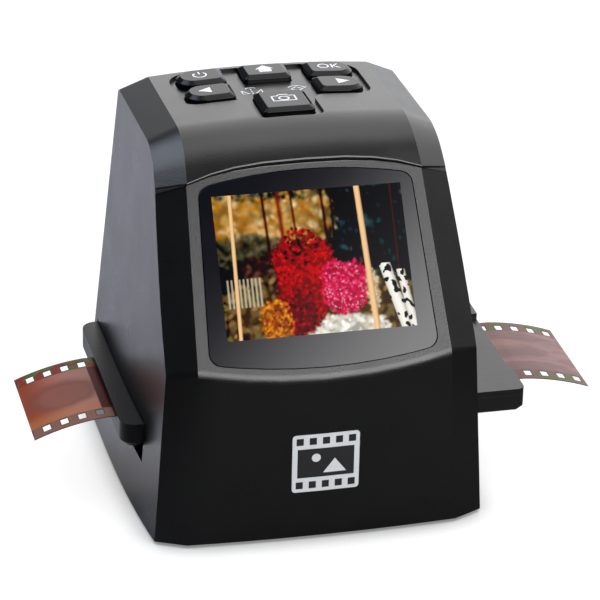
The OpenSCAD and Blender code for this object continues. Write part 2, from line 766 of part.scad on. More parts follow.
deck_board_half_w = keys_half_w + 7.2;
module button_board() {
    low = capture_y - 6.2;
    high = back_row_y + 5;
    color([0.05, 0.3, 0.14]) difference() {
        on_deck() translate([-deck_board_half_w, low - deck_y, -board_drop - board_t])
            cube([2 * deck_board_half_w, high - low, board_t]);
        at_deck_posts() translate([0, 0, -board_t - overlap])
            cylinder(d = pass_d, h = board_t + 2 * overlap, $fn = smooth);
    }
}

module button_board_screws() {
    color([0.6, 0.6, 0.62]) at_deck_posts() translate([0, 0, -board_t]) screw(board_t + 3.5);
}

switch_w = 6;
switch_t = 1.8;
key_places = [[-key_col_x, back_row_y], [key_col_x, back_row_y], [-key_col_x, arrow_row_y],
    [key_col_x, arrow_row_y], [0, back_row_y], [0, capture_y]];
module tact_switches() {
    color([0.75, 0.75, 0.78]) for (p = key_places) {
        on_deck() translate([p[0] - switch_w / 2, p[1] - deck_y - switch_w / 2, -board_drop])
            cube([switch_w, switch_w, switch_t]);
        on_key(p[0], p[1]) translate([0, 0, plunger_z - 1.6])
            cylinder(d = 3.4, h = 1.6, $fn = smooth);
    }
}

// ---- Tray guide and backlight ------------------------------------------------

module tray_guide() {
    low_y = rail_front;
    floor_z = slot_low_z - 0.2;
    color([0.16, 0.16, 0.17]) difference() {
        union() {
            translate([-rail_half_len, low_y, guide_z])
                cube([2 * rail_half_len, front_rail_y - low_y, rail_top_z - guide_z]);
            translate([-rail_half_len, back_rail_y, guide_z])
                cube([2 * rail_half_len, rail_back - back_rail_y, rail_top_z - guide_z]);
            translate([-rail_half_len, low_y, guide_z])
                cube([2 * rail_half_len, runner_front - low_y, tray_low_z - tray_gap - guide_z]);
            translate([-rail_half_len, runner_back, guide_z])
                cube([2 * rail_half_len, rail_back - runner_back, tray_low_z - tray_gap - guide_z]);
            translate([-rail_half_len, low_y, guide_z])
                cube([2 * rail_half_len, rail_back - low_y, floor_z - guide_z]);
            mirrored_x() for (p = guide_legs) translate([p[0], p[1], plate_z + plate_t])
                cylinder(d = post_d, h = floor_z - plate_z - plate_t, $fn = smooth);
        }
        translate([-gate_w / 2, film_y - gate_d / 2, guide_z - overlap]) cube([gate_w, gate_d, far]);
        mirrored_x() for (p = guide_legs) translate([p[0], p[1], 0])
            cylinder(d = pilot_d, h = plate_z + plate_t + post_reach, $fn = smooth);
        for (p = hood_screws_at) translate([p[0], p[1], rail_top_z - 6])
            cylinder(d = pilot_d, h = 6 + overlap, $fn = smooth);
    }
}

// Light box under the film: a case, a board of lamps and a diffuser.
light_w = gate_w + 14;
light_d = gate_d + 11;
light_wall = 1.5;
lamp_pitch = frame_w / 3;
lamp_row = frame_h / 2.4;
case_z = plate_z + plate_t;
module backlight_case() {
    color([0.92, 0.92, 0.9]) translate([-light_w / 2, film_y - light_d / 2, case_z]) difference() {
        cube([light_w, light_d, guide_z - case_z]);
        translate([light_wall, light_wall, light_wall])
            cube([light_w - 2 * light_wall, light_d - 2 * light_wall, far]);
    }
}

module led_board() {
    edge = light_wall + 0.3;
    color([0.9, 0.92, 0.9]) translate([-light_w / 2 + edge, film_y - light_d / 2 + edge, case_z + light_wall])
        cube([light_w - 2 * edge, light_d - 2 * edge, board_t]);
}

module backlight_leds() {
    led_w = 3;
    color([1, 0.95, 0.7]) for (i = [-1.5:1.5], j = [-1:1])
        translate([i * lamp_pitch - led_w / 2, film_y + j * lamp_row - led_w / 2, case_z + light_wall + board_t])
            cube([led_w, led_w, 1]);
}

diffuser_t = 1.6;
module diffuser() {
    gap = 0.2;
    color([0.97, 0.97, 0.97, 0.8])
        translate([-gate_w / 2 + gap, film_y - gate_d / 2 + gap, guide_z])
            cube([gate_w - 2 * gap, gate_d - 2 * gap, diffuser_t]);
}

// ---- Camera over the film ------------------------------------------------------

mouth_w = frame_w + 6;                         // inside of the hood at the film
mouth_d = frame_h + 4;
neck_w = lens_d - 2;                           // inside of the hood under the lens
hood_half_w = mouth_w / 2 + 3;
hood_t = 2;
hood_z = rail_top_z;
tube_d = lens_d + 4;
tube_z = lens_z - 1.5;
deck_z = lens_z + lens_len - 3.5;
sensor_z = lens_z + lens_len + 1.7;
hood_screws_at = [for (side = [-1, 1]) [side * (hood_half_w - 6), front_rail_y - 1.6]];
module hood_form(grow) {
    hull() {
        translate([-mouth_w / 2 - grow, film_y - mouth_d / 2 - grow, hood_z + (grow > 0 ? 0 : -overlap)])
            cube([mouth_w + 2 * grow, mouth_d + 2 * grow, 2 * overlap]);
        translate([-neck_w / 2 - grow, film_y - neck_w / 2 - grow, tube_z - overlap])
            cube([neck_w + 2 * grow, neck_w + 2 * grow, 1.2 * overlap]);
    }
}

module optics_hood() {
    color([0.1, 0.1, 0.1]) difference() {
        union() {
            translate([-hood_half_w, rail_front, hood_z])
                cube([2 * hood_half_w, rail_back - rail_front, hood_t]);
            hood_form(1.4);
            translate([0, film_y, tube_z]) cylinder(d = tube_d, h = deck_z - tube_z + 1.5, $fn = smooth);
            translate([-sensor_board_w / 2, film_y - sensor_board_w / 2, deck_z])
                cube([sensor_board_w, sensor_board_w, 1.5]);
            for (x = [-1, 1], y = [-1, 1])
                translate([x * (sensor_board_w / 2 - 3), film_y + y * (sensor_board_w / 2 - 3), deck_z])
                    cylinder(d = 4.6, h = sensor_z - deck_z, $fn = smooth);
        }
        hood_form(0);
        translate([0, film_y, lens_z]) cylinder(d = lens_d + 2 * 0.05, h = far, $fn = smooth);
        translate([0, film_y, tube_z - 2 * overlap]) cylinder(d = lens_d - 3, h = far, $fn = smooth);
        for (p = hood_screws_at) translate([p[0], p[1], hood_z - overlap])
            cylinder(d = pass_d, h = far / 10, $fn = smooth);
        for (x = [-1, 1])
            translate([x * (sensor_board_w / 2 - 3), film_y + x * (sensor_board_w / 2 - 3), deck_z + 0.4])
                cylinder(d = pilot_d, h = far, $fn = smooth);
    }
}

module hood_screws() {
    color([0.6, 0.6, 0.62]) {
        for (p = hood_screws_at)
            translate([p[0], p[1], hood_z + hood_t]) mirror([0, 0, 1]) screw(7);
        for (x = [-1, 1])
            translate([x * (sensor_board_w / 2 - 3), film_y + x * (sensor_board_w / 2 - 3), sensor_z + board_t])
                mirror([0, 0, 1]) screw(4);
    }
}

module lens_barrel() {
    seat = 2;
    color([0.08, 0.08, 0.08]) translate([0, film_y, lens_z]) difference() {
        cylinder(d = lens_d, h = lens_len, $fn = smooth);
        translate([0, 0, -overlap]) cylinder(d = glass_d + 0.1, h = seat + overlap, $fn = smooth);
        cylinder(d = glass_d - 3, h = far, $fn = smooth);
    }
}

module lens_glass() {
    ball_r = 14;
    color([0.6, 0.75, 0.9, 0.4]) translate([0, film_y, lens_z]) intersection() {
        translate([0, 0, 0.2]) cylinder(d = glass_d, h = 1.8, $fn = smooth);
        translate([0, 0, 0.2 + ball_r]) sphere(r = ball_r, $fn = smooth);
    }
}

module sensor_board() {
    color([0.05, 0.3, 0.14]) difference() {
        translate([-sensor_board_w / 2, film_y - sensor_board_w / 2, sensor_z])
            cube([sensor_board_w, sensor_board_w, board_t]);
        for (x = [-1, 1])
            translate([x * (sensor_board_w / 2 - 3), film_y + x * (sensor_board_w / 2 - 3), sensor_z - overlap])
                cylinder(d = pass_d, h = board_t + 2 * overlap, $fn = smooth);
    }
}

module image_sensor() {
    chip = 11;
    color([0.2, 0.2, 0.25]) translate([-chip / 2, film_y - chip / 2, sensor_z - 1.2]) cube([chip, chip, 1.2]);
}

// ---- Main board and ports ------------------------------------------------------

main_y = cover_y - board_gap - board_t;        // front face of the main board
module main_board() {
    color([0.05, 0.3, 0.14]) difference() {
        translate([-main_board_w / 2, main_y, board_low_z])
            cube([main_board_w, board_t, board_top_z - board_low_z]);
        at_board_posts() cylinder(d = pass_d, h = board_gap + board_t + overlap, $fn = smooth);
    }
}

module main_board_screws() {
    color([0.6, 0.6, 0.62]) at_board_posts() translate([0, 0, board_gap + board_t])
        mirror([0, 0, 1]) screw(board_t + 4);
}

cpu_w = 14;
ram_w = 11;
ram_h = 8;
chip_t = 1.2;
chip_drop = 10;                                // from the board's top edge to the large chip
chip_gap = 6;                                  // between the two chips
module processor_chips() {
    color([0.1, 0.1, 0.1]) {
        translate([0, main_y - chip_t, board_top_z - chip_drop - cpu_w]) cube([cpu_w, chip_t, cpu_w]);
        translate([-ram_w - chip_gap, main_y - chip_t, board_top_z - chip_drop - (cpu_w + ram_h) / 2])
            cube([ram_w, chip_t, ram_h]);
    }
}

module usb_port() {
    depth = board_gap - 0.4;
    color([0.75, 0.75, 0.78]) translate([port_x, main_y + board_t + depth, port_z]) rotate([90, 0, 0])
        difference() {
            linear_extrude(depth) square([usb_w - 0.4, usb_h - 0.2], center = true);
            translate([0, 0, -overlap]) linear_extrude(depth - 0.6 + overlap)
                square([usb_w - 1.4, usb_h - 1.2], center = true);
        }
}

module card_socket() {
    depth = board_gap - 0.4;
    color([0.75, 0.75, 0.78]) translate([-port_x, main_y + board_t + depth, port_z]) rotate([90, 0, 0])
        difference() {
            linear_extrude(depth) square([card_w + 2, card_h + 1.4], center = true);
            translate([0, 0, -overlap]) linear_extrude(depth - 0.6 + overlap)
                square([card_w - 0.4, card_h - 0.4], center = true);
        }
}

// ---- Film tray -------------------------------------------------------------------

// Plan outline of the tray with its corners rounded.
module tray_plan(inset) {
    corners = [[tray_left, tray_low_y], [tray_left, tray_back_y],
        [tray_right, tray_back_y], [tray_right, tray_low_y]];
    radii = [for (r = [tray_r, tray_r, tray_end_r, tray_end_r]) r - inset];
    polygon(rounded(moved_in(corners, inset), radii, [for (c = corners) 6]));
}

channel_w = film_w + 0.4;
hinge_y = tray_back_y - 1.8;
hinge_z = split_z - 0.9;
hinge_l = 9;                                   // length of a hinge knuckle
hinge_inset = 14;                              // knuckles' distance from the tray's ends
knuckle_d = hinge_pin_d + 1.6;
knuckles = [tray_left + hinge_inset, tray_right - hinge_inset - hinge_l];
module knuckle_room(grow) {
    for (x = knuckles)
        translate([x - grow, hinge_y - knuckle_d / 2 - grow, hinge_z - knuckle_d / 2 - grow])
            cube([hinge_l + 2 * grow, far, far]);
}

module tray_base() {
    color([0.07, 0.07, 0.08]) difference() {
        union() {
            hull() {
                translate([0, 0, tray_low_z]) linear_extrude(overlap / 10) tray_plan(tray_edge_r);
                translate([0, 0, tray_low_z + tray_edge_r]) linear_extrude(overlap / 10) tray_plan(0);
            }
            translate([0, 0, tray_low_z + tray_edge_r]) linear_extrude(split_z - tray_low_z - tray_edge_r)
                tray_plan(0);
        }
        translate([-far - far, film_y - channel_w / 2, film_z - film_t / 2 - film_gap])
            cube([4 * far, channel_w, split_z - film_z + film_t + overlap / 100]);
        translate([-frame_w / 2, film_y - frame_h / 2, 0]) cube([frame_w, frame_h, far]);
        knuckle_room(0.3);
        for (x = knuckles) translate([x - 3, hinge_y, hinge_z]) rotate([0, 90, 0])
            cylinder(d = hinge_pin_d + 0.02, h = hinge_l + 6, $fn = smooth);
    }
}

module tray_lid() {
    notch_y0 = film_y - film_w / 2 + 2.5;
    notch_y1 = film_y + film_w / 2 + 2.3;
    color([0.09, 0.09, 0.1]) difference() {
        union() {
            difference() {
                translate([0, 0, split_z]) linear_extrude(lid_t) tray_plan(0);
                translate([tray_right - lid_notch, notch_y0, split_z - overlap])
                    cube([far, notch_y1 - notch_y0, far]);
                translate([-frame_w / 2, film_y - frame_h / 2, 0]) cube([frame_w, frame_h, far]);
            }
            for (x = knuckles) {
                translate([x, hinge_y, hinge_z]) rotate([0, 90, 0])
                    cylinder(d = knuckle_d, h = hinge_l, $fn = smooth);
                translate([x, hinge_y - knuckle_d / 2, hinge_z])
                    cube([hinge_l, knuckle_d, split_z - hinge_z + overlap]);
            }
        }
        for (x = knuckles) translate([x - overlap, hinge_y, hinge_z]) rotate([0, 90, 0])
            cylinder(d = hinge_pin_d + 0.1, h = hinge_l + 2 * overlap, $fn = smooth);
    }
}

module hinge_pins() {
    color([0.7, 0.7, 0.72]) for (x = knuckles) translate([x - 2.9, hinge_y, hinge_z]) rotate([0, 90, 0])
        cylinder(d = hinge_pin_d, h = hinge_l + 5.8, $fn = smooth);
}

// The film: flat inside the tray, then hanging in a parabola at each end.
flat_out = 2.5;                                // flat film past each end of the tray
droop_steps = 8;
function droop(u, depth) = -depth * (0.35 * u + 0.65 * u * u);
film_mid_line = concat(
    [for (k = [droop_steps:-1:1]) let (u = k / droop_steps)
        [tray_left - flat_out - u * (film_left - flat_out), film_z + droop(u, droop_left)]],
    [[tray_left - flat_out, film_z], [tray_right + flat_out, film_z]],
    [for (k = [1:droop_steps]) let (u = k / droop_steps)
        [tray_right + flat_out + u * (film_right - flat_out), film_z + droop(u, droop_right)]]);
module film_strip() {
    half = film_t / 2;
    rows = perf_rows / 2;
    first = ceil((tray_left - film_left + perf_margin - perf_start) / perf_pitch);
    last = floor((tray_right + film_right - perf_margin - perf_start) / perf_pitch);
    color([0.45, 0.2, 0.08, 0.8]) difference() {
        translate([0, film_y + film_w / 2, 0]) rotate([90, 0, 0]) linear_extrude(film_w)
            polygon(concat([for (p = film_mid_line) [p[0], p[1] + half]],
                [for (k = [len(film_mid_line) - 1:-1:0]) [film_mid_line[k][0], film_mid_line[k][1] - half]]));
        for (k = [first:last], side = [-1, 1])
            translate([perf_start + k * perf_pitch - perf_l / 2, film_y + side * rows - perf_w / 2, 0])
                cube([perf_l, perf_w, far]);
    }
}

housing_shell();
rear_cover();
base_plate();
rubber_feet();
base_screws();
rear_screws();
screen_window();
screen_gasket();
lcd_panel();
lcd_bracket();
bracket_screws();
power_button();
home_button();
ok_button();
left_button();
right_button();
capture_button();
button_board();
tact_switches();
button_board_screws();
tray_guide();
guide_screws();
backlight_case();
led_board();
backlight_leds();
diffuser();
optics_hood();
hood_screws();
lens_barrel();
lens_glass();
sensor_board();
image_sensor();
main_board();
main_board_screws();
processor_chips();
usb_port();
card_socket();
tray_base();
tray_lid();
hinge_pins();
film_strip();
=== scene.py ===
# %% [markdown]
# # A desktop film scanner
# The scanner is a moulded black housing with a sloping screen, six glossy keys
# on its roof, and a flat tray that carries a strip of film through both sides.
# The measured solids come in first and stay where they are. Everything after
# that dresses them: softer edges, real finishes, printed symbols, the lit
# picture and the tinted film. Lengths are in metres, or in millimetres times MM.

# %% Load the measured solids
import math
import random
from functools import partial, reduce

import bmesh
import bpy
from mathutils import Matrix, Vector, noise
from mathutils.bvhtree import BVHTree


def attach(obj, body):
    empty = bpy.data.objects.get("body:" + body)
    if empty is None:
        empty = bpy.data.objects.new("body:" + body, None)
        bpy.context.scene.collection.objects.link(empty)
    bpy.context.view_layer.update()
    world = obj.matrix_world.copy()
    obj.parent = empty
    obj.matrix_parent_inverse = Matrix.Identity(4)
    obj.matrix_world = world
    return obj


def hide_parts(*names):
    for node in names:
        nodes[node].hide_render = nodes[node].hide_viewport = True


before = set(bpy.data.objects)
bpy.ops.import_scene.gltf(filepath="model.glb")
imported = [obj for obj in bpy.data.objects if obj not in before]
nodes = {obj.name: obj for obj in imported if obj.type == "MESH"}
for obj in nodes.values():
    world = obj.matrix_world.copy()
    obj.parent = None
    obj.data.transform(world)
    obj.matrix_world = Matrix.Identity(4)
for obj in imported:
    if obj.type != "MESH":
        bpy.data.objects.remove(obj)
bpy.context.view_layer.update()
MM = 0.001


# %% [markdown]
# ## Camera
# The photographer stood a little to the left and above, and far enough away
# that the scanner's sides hardly close in. A long lens from the same place
# gives the same outlines, and the camera was held at a slight roll.

# %% Camera
EYE = Vector((-0.1876, -0.7575, 0.4279))
AZIMUTH, ELEVATION, ROLL = -0.2465, 0.4521, 0.0235
PHOTO_SIDE, FOCAL_PIXELS = 600, 3230.24
SENSOR_W = 36

back = Vector((math.sin(AZIMUTH) * math.cos(ELEVATION),
               -math.cos(AZIMUTH) * math.cos(ELEVATION), math.sin(ELEVATION)))
level_right = Vector((0, 0, 1)).cross(back).normalized()
level_up = back.cross(level_right)
right = level_right * math.cos(ROLL) + level_up * math.sin(ROLL)
up = level_up * math.cos(ROLL) - level_right * math.sin(ROLL)
camera_data = bpy.data.cameras.new("camera")
camera_data.sensor_width = SENSOR_W
camera_data.lens = FOCAL_PIXELS / PHOTO_SIDE * SENSOR_W
camera = bpy.data.objects.new("camera", camera_data)
camera.matrix_world = Matrix.Translation(EYE) @ Matrix((right, up, back)).transposed().to_4x4()
bpy.context.scene.collection.objects.link(camera)
bpy.context.scene.camera = camera
print("lens", round(camera_data.lens, 1), "mm,", round(EYE.length, 3), "m from the middle of the footprint")

# %% [markdown]
# ## Shapes: small helpers
# Each piece is a small mesh that starts from a simple shape or from one of the
# solids. A real moulding has no sharp edges, because the mould can't cut them,
# and its small radii are what catches the light. These helpers turn a finished
# bmesh into an object, and copy a solid so that its edges can be rounded.

# %% Turn a bmesh into a piece
SHARP = 35                                         # degrees, an edge that turns more stays crisp


def as_piece(bm, name, material, body, angle=SHARP):
    mesh = bpy.data.meshes.new(name)
    bm.to_mesh(mesh)
    bm.free()
    mesh.shade_smooth()
    mesh.set_sharp_from_angle(angle=math.radians(angle))
    mesh.materials.append(material)
    piece = bpy.data.objects.new(name, mesh)
    bpy.context.scene.collection.objects.link(piece)
    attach(piece, body)
    return piece


# %% Copy a solid and soften its edges
SOFT_RIM = 0.8                                     # millimetres, the roundest edges of a piece
JOINED = 0.004                                     # millimetres, corners this near are one corner


def merged_copy(node):
    bm = bmesh.new()
    bm.from_mesh(nodes[node].data)
    bmesh.ops.remove_doubles(bm, verts=bm.verts, dist=JOINED * MM)
    return bm


def softened_copy(node, material, body, width, segments=2, angle=SHARP, softer=None, flat=0.4):
    bm = merged_copy(node)
    bmesh.ops.dissolve_limit(bm, angle_limit=math.radians(flat), verts=bm.verts, edges=bm.edges)
    bm.edges.index_update()
    smooth_folds = []
    if softer:
        weights = bm.edges.layers.float.new("bevel_weight_edge")
        limit = math.radians(angle)
        for e in bm.edges:
            if len(e.link_faces) == 2 and e.calc_face_angle() > limit:
                e[weights] = softer(e, width / SOFT_RIM)
                if not e[weights]:
                    smooth_folds.append(e.index)
    piece = as_piece(bm, node + "_dressed", material, body, max(angle, SHARP))
    for index in smooth_folds:
        piece.data.edges[index].use_edge_sharp = False
    if width:
        edge = piece.modifiers.new("soft edges", "BEVEL")
        edge.width = (SOFT_RIM if softer else width) * MM
        edge.segments = segments
        edge.limit_method = "WEIGHT" if softer else "ANGLE"
        edge.angle_limit = math.radians(angle)
        edge.use_clamp_overlap = True
    even = piece.modifiers.new("even shading", "WEIGHTED_NORMAL")
    even.keep_sharp = True
    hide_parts(node)
    return piece


# %% [markdown]
# ## Finishes: small helpers
# Real plastic is never one flat colour. Its mould is spark-eroded, so the
# surface has a fine grain, its gloss wanders a little, and its tone too. The
# helpers build that from noise that is read in the object's own coordinates,
# so the grain stays where it is when the piece moves.

# %% Nodes in few words
def plug(tree, socket, value):
    if isinstance(value, bpy.types.NodeSocket):
        tree.links.new(value, socket)
    else:
        socket.default_value = value


def add_node(tree, kind, settings=None, **inputs):
    made = tree.nodes.new(kind)
    for name, value in (settings or {}).items():
        setattr(made, name, value)
    for name, value in inputs.items():
        plug(tree, made.inputs[name.replace("_", " ")], value)
    return made


def spot_in(tree, kind="Object"):
    return add_node(tree, "ShaderNodeTexCoord").outputs[kind]


def parts_of(tree, vector):
    return add_node(tree, "ShaderNodeSeparateXYZ", Vector=vector).outputs


def blank_material(name, **sockets):
    made = bpy.data.materials.new(name)
    made.use_nodes = True
    shader = made.node_tree.nodes["Principled BSDF"]
    for socket, value in sockets.items():
        shader.inputs[socket.replace("_", " ")].default_value = value
    return made, made.node_tree, shader


# %% Soft limits, mixed colours and noise
SHARE, UNDER, OVER, MIXED = 0, 6, 7, 2             # sockets of a mix node for colours


def between(tree, socket, low, high, at_low=0.0, at_high=1.0):
    made = add_node(tree, "ShaderNodeMapRange", {"interpolation_type": "SMOOTHSTEP"}, Value=socket)
    for name, value in (("From Min", low), ("From Max", high), ("To Min", at_low), ("To Max", at_high)):
        made.inputs[name].default_value = value
    return made.outputs[0]


def blended(tree, share, under, over):
    made = add_node(tree, "ShaderNodeMix", {"data_type": "RGBA"})
    for index, value in ((SHARE, share), (UNDER, under), (OVER, over)):
        plug(tree, made.inputs[index], value)
    return made.outputs[MIXED]


def noise_on(tree, vector, scale, detail=3, stretch=(1, 1, 1)):
    moved = add_node(tree, "ShaderNodeMapping", Vector=vector, Scale=stretch).outputs[0]
    return add_node(tree, "ShaderNodeTexNoise", Vector=moved, Scale=scale, Detail=detail).outputs["Fac"]


# %% Sums, products and other steps
def computed(tree, operation, *values):
    step = add_node(tree, "ShaderNodeMath", {"operation": operation})
    for socket, value in zip(step.inputs, values):
        plug(tree, socket, value)
    return step.outputs[0]


def multiplied(tree, *values):
    return reduce(lambda made, value: computed(tree, "MULTIPLY", made, value), values)


def summed(tree, *values):
    return reduce(lambda made, value: computed(tree, "ADD", made, value), values)


# %% Build a finish from a colour, a gloss and a grain
GRAIN_DEPTH = 0.05                                 # millimetres
CLOUDS = 90                                        # scale of the broad unevenness of the gloss
LEAST_ROUGH = 0.01


def finish(name, color, roughness, grain=1500, depth=0.15, spread=0.05, tone=0.12, stretch=(1, 1, 1), **sockets):
    made, tree, shader = blank_material(name, **sockets)
    place = spot_in(tree)
    fine = noise_on(tree, place, grain, 2, stretch)
    broad = add_node(tree, "ShaderNodeTexNoise", Vector=place, Scale=CLOUDS, Detail=4).outputs["Fac"]
    bump = add_node(tree, "ShaderNodeBump", Strength=depth, Distance=GRAIN_DEPTH * MM, Height=fine)
    gloss = add_node(tree, "ShaderNodeMapRange", Value=broad)
    gloss.inputs["To Min"].default_value = max(LEAST_ROUGH, roughness - spread)
    gloss.inputs["To Max"].default_value = roughness + spread
    darker = (*[c * (1 - tone) for c in color], 1)
    lighter = (*[min(1, c * (1 + tone)) for c in color], 1)
    plug(tree, shader.inputs["Normal"], bump.outputs[0])
    plug(tree, shader.inputs["Roughness"], gloss.outputs[0])
    plug(tree, shader.inputs["Base Color"], blended(tree, fine, darker, lighter))
    return made


# %% The finishes of the outside
casing = finish("satin_black_casing", (0.0024, 0.0024, 0.0028), 0.29, grain=2300, depth=0.55, tone=0.3,
                Specular_IOR_Level=0.5)
glass = finish("window_glass", (0.002, 0.002, 0.005), 0.08, grain=300, depth=0.002, spread=0.01,
               Specular_IOR_Level=0.38)
key_black = finish("glossy_key", (0.003, 0.003, 0.004), 0.12, grain=900, depth=0.03, spread=0.03,
                   Specular_IOR_Level=0.16)
tray_black = finish("tray_black", (0.005, 0.005, 0.006), 0.34, grain=1100, depth=0.5, stretch=(0.06, 1, 1),
                    Specular_IOR_Level=0.4)
rubber = finish("foot_rubber", (0.012, 0.012, 0.012), 0.75, grain=2200, depth=0.5)
steel = finish("screw_steel", (0.55, 0.55, 0.57), 0.28, grain=1800, depth=0.1, Metallic=1.0)
print_white = finish("white_print", (0.72, 0.73, 0.75), 0.5, grain=2500, depth=0.1, tone=0.03)
print("finishes:", casing.name, glass.name, key_black.name, tray_black.name)


# %% [markdown]
# ## Housing
# The housing is one hollow shot of black plastic, polished only lightly, so
# its edges are round and its faces satin. The solid already has the form; a
# copy with softened edges catches the thin lines of light that the real
# moulding shows along its rims, slots and the screen's opening. The window
# drops into that opening, with a hair of dark gap around it. The rim of the
# key pocket is the roundest edge, and the folds across the front's corners
# stay soft, because there the real surface runs on in one curve.

# %% The roof's height, and how soft each edge of the shell is
ROOF_Z, ROOF_PEAK_Y, ROOF_LEAN = 102.2, 2.7, math.atan(1.5 / 40.8)
CROWN, CROWN_HALF_W = 1.4, 31.0
POCKET_DEPTH, KEY_RISE = 0.9, 2.1
POCKET_HALF_W, POCKET_FRONT, POCKET_BACK = 28, 4, 41
RIM_NEAR = 0.35                                    # millimetres from the roof's surface
CORNER_X, CORNER_LOW, CORNER_HIGH = 33.5, 62, 96
ACROSS = 0.6                                       # a fold across runs more in x than this share of z


def roof_height(x, y):
    return ROOF_Z - CROWN * (x / CROWN_HALF_W) ** 2 - (y - ROOF_PEAK_Y) * math.tan(ROOF_LEAN)


def on_pocket_rim(p):
    return (abs(p.x) < POCKET_HALF_W and POCKET_FRONT < p.y < POCKET_BACK
            and abs(p.z - roof_height(p.x, p.y)) < RIM_NEAR)


def on_front_corner(p):
    return abs(p.x) > CORNER_X and CORNER_LOW < p.z < CORNER_HIGH and p.y < 0


def shell_softness(e, usual):
    spots = [v.co / MM for v in e.verts]
    if all(on_pocket_rim(p) for p in spots):
        return 1.0
    along = spots[1] - spots[0]
    if all(on_front_corner(p) for p in spots) and abs(along.x) > ACROSS * abs(along.z):
        return 0.0
    return usual


# %% Housing, its covers and the window
shell = softened_copy("housing_shell", casing, "housing", 0.35, segments=3, angle=20,
                      softer=shell_softness, flat=0.05)
for cover in ("rear_cover", "base_plate"):
    softened_copy(cover, casing, "housing", 0.25)
window = softened_copy("screen_window", glass, "housing", 0.15)
print("housing:", len(shell.data.polygons), "faces, window:", len(window.data.polygons))

# %% [markdown]
# ## Keys
# Six glossy caps stand in a shallow pocket. Each has a broad bevel that stays
# black while its flat top mirrors the white room, and thin bright lines where
# the bevel meets the top and the side. Soft edges on the solid's own bevel
# give both lines, and they need more steps than the casing's, because a
# gloss surface shows each one.

# %% Keys
KEYS = ("power", "home", "ok", "left", "right", "capture")
for key in KEYS:
    softened_copy(key + "_button", key_black, key + "_key", 0.45, segments=4, angle=28)
print("keys:", ", ".join(KEYS))


# %% [markdown]
# ## Symbols
# The keys and the pocket carry thin white printed symbols. Printing ink is a
# film on the surface, so each symbol is a flat figure that is a few
# hundredths of a millimetre thick. It could be a drawn image on the key, but a
# mesh stays sharp from near and goes with the key into every export. A figure
# is put together from bars, arcs and discs in millimetres, then moved onto
# its key.

# %% Places on the roof
def roof_frame(x, y, lift):
    z = roof_height(x, y) - POCKET_DEPTH
    lean = math.atan(2 * CROWN * x / CROWN_HALF_W ** 2)
    return (Matrix.Scale(MM, 4) @ Matrix.Translation((x, y, z)) @ Matrix.Rotation(lean, 4, "Y")
            @ Matrix.Rotation(-ROOF_LEAN, 4, "X") @ Matrix.Translation((0, 0, lift)))


# %% Bars, discs and arcs
def bar(bm, a, b, width, parts=1):
    along = Vector((b[0] - a[0], b[1] - a[1]))
    turn = Matrix.Rotation(math.atan2(along.y, along.x), 4, "Z")
    middle = Matrix.Translation(((a[0] + b[0]) / 2, (a[1] + b[1]) / 2, 0))
    size = Matrix.Diagonal((along.length, width, 1, 1))
    bmesh.ops.create_grid(bm, x_segments=parts, y_segments=parts, size=0.5, matrix=middle @ turn @ size)


def disc(bm, x, y, radius, segments=32, turn=0.0, squash=1.0):
    place = (Matrix.Translation((x, y, 0)) @ Matrix.Diagonal((1, squash, 1, 1))
             @ Matrix.Rotation(turn - math.pi / 2, 4, "Z"))
    bmesh.ops.create_circle(bm, cap_ends=True, radius=radius, segments=segments, matrix=place)


def arc(bm, x, y, radius, width, start, end, steps=24):
    reach = [radius - width / 2, radius + width / 2]
    ends = [bm.verts.new((x + r * math.cos(start), y + r * math.sin(start), 0)) for r in reach]
    line = bm.edges.new(ends)
    bmesh.ops.spin(bm, geom=ends + [line], cent=(x, y, 0), axis=(0, 0, 1), angle=end - start, steps=steps)


def outline(bm, points, width):
    for a, b in zip(points, points[1:] + points[:1]):
        bar(bm, a, b, width)
        disc(bm, *a, width / 2, 12)


# %% Give a flat figure its thickness and put it in place
INK = 0.03                                         # millimetres


def doubled(bm):
    raised = bmesh.ops.extrude_face_region(bm, geom=list(bm.faces))["geom"]
    return [v for v in raised if isinstance(v, bmesh.types.BMVert)]


def printed(bm, name, place, body):
    bmesh.ops.translate(bm, verts=doubled(bm), vec=(0, 0, INK))
    bmesh.ops.recalc_face_normals(bm, faces=bm.faces)
    bm.transform(place)
    return as_piece(bm, name, print_white, body)


# %% Symbols on the keys
KEY_X, BACK_ROW_Y, ARROW_ROW_Y, CAPTURE_Y = 17.75, 33.6, 21.8, 10.2
LINE, THIN_LINE = 0.42, 0.3
LETTER_SIZE = 4.4
MIRROR_X, TURN_X, MARKS_Y = -5.9, 6.4, 22.7

power = bmesh.new()
arc(power, 0, 0, 1.75, LINE, math.radians(130), math.radians(410))
bar(power, (0, 0.5), (0, 2.3), LINE)
printed(power, "power_symbol", roof_frame(-KEY_X, BACK_ROW_Y, KEY_RISE), "power_key")

house = bmesh.new()
disc(house, 0, 1.0, 2.9, 3, math.pi / 2, 0.62)
bar(house, (0, -2.1), (0, 0.2), 3.4)
printed(house, "home_symbol", roof_frame(0, BACK_ROW_Y, KEY_RISE), "home_key")

for side, name in ((-1, "left"), (1, "right")):
    arrow = bmesh.new()
    disc(arrow, side * 0.6, 0, 2.3, 3, math.pi if side < 0 else 0.0, 0.95)
    printed(arrow, name + "_symbol", roof_frame(side * KEY_X, ARROW_ROW_Y, KEY_RISE), name + "_key")

camera_mark = bmesh.new()
outline(camera_mark, [(-3.1, -2.1), (3.1, -2.1), (3.1, 1.5), (1.6, 1.5),
                      (1.0, 2.4), (-1.0, 2.4), (-1.6, 1.5), (-3.1, 1.5)], LINE)
arc(camera_mark, 0, -0.3, 1.3, LINE, 0, math.tau, 32)
printed(camera_mark, "capture_symbol", roof_frame(0, CAPTURE_Y + 0.6, KEY_RISE), "capture_key")

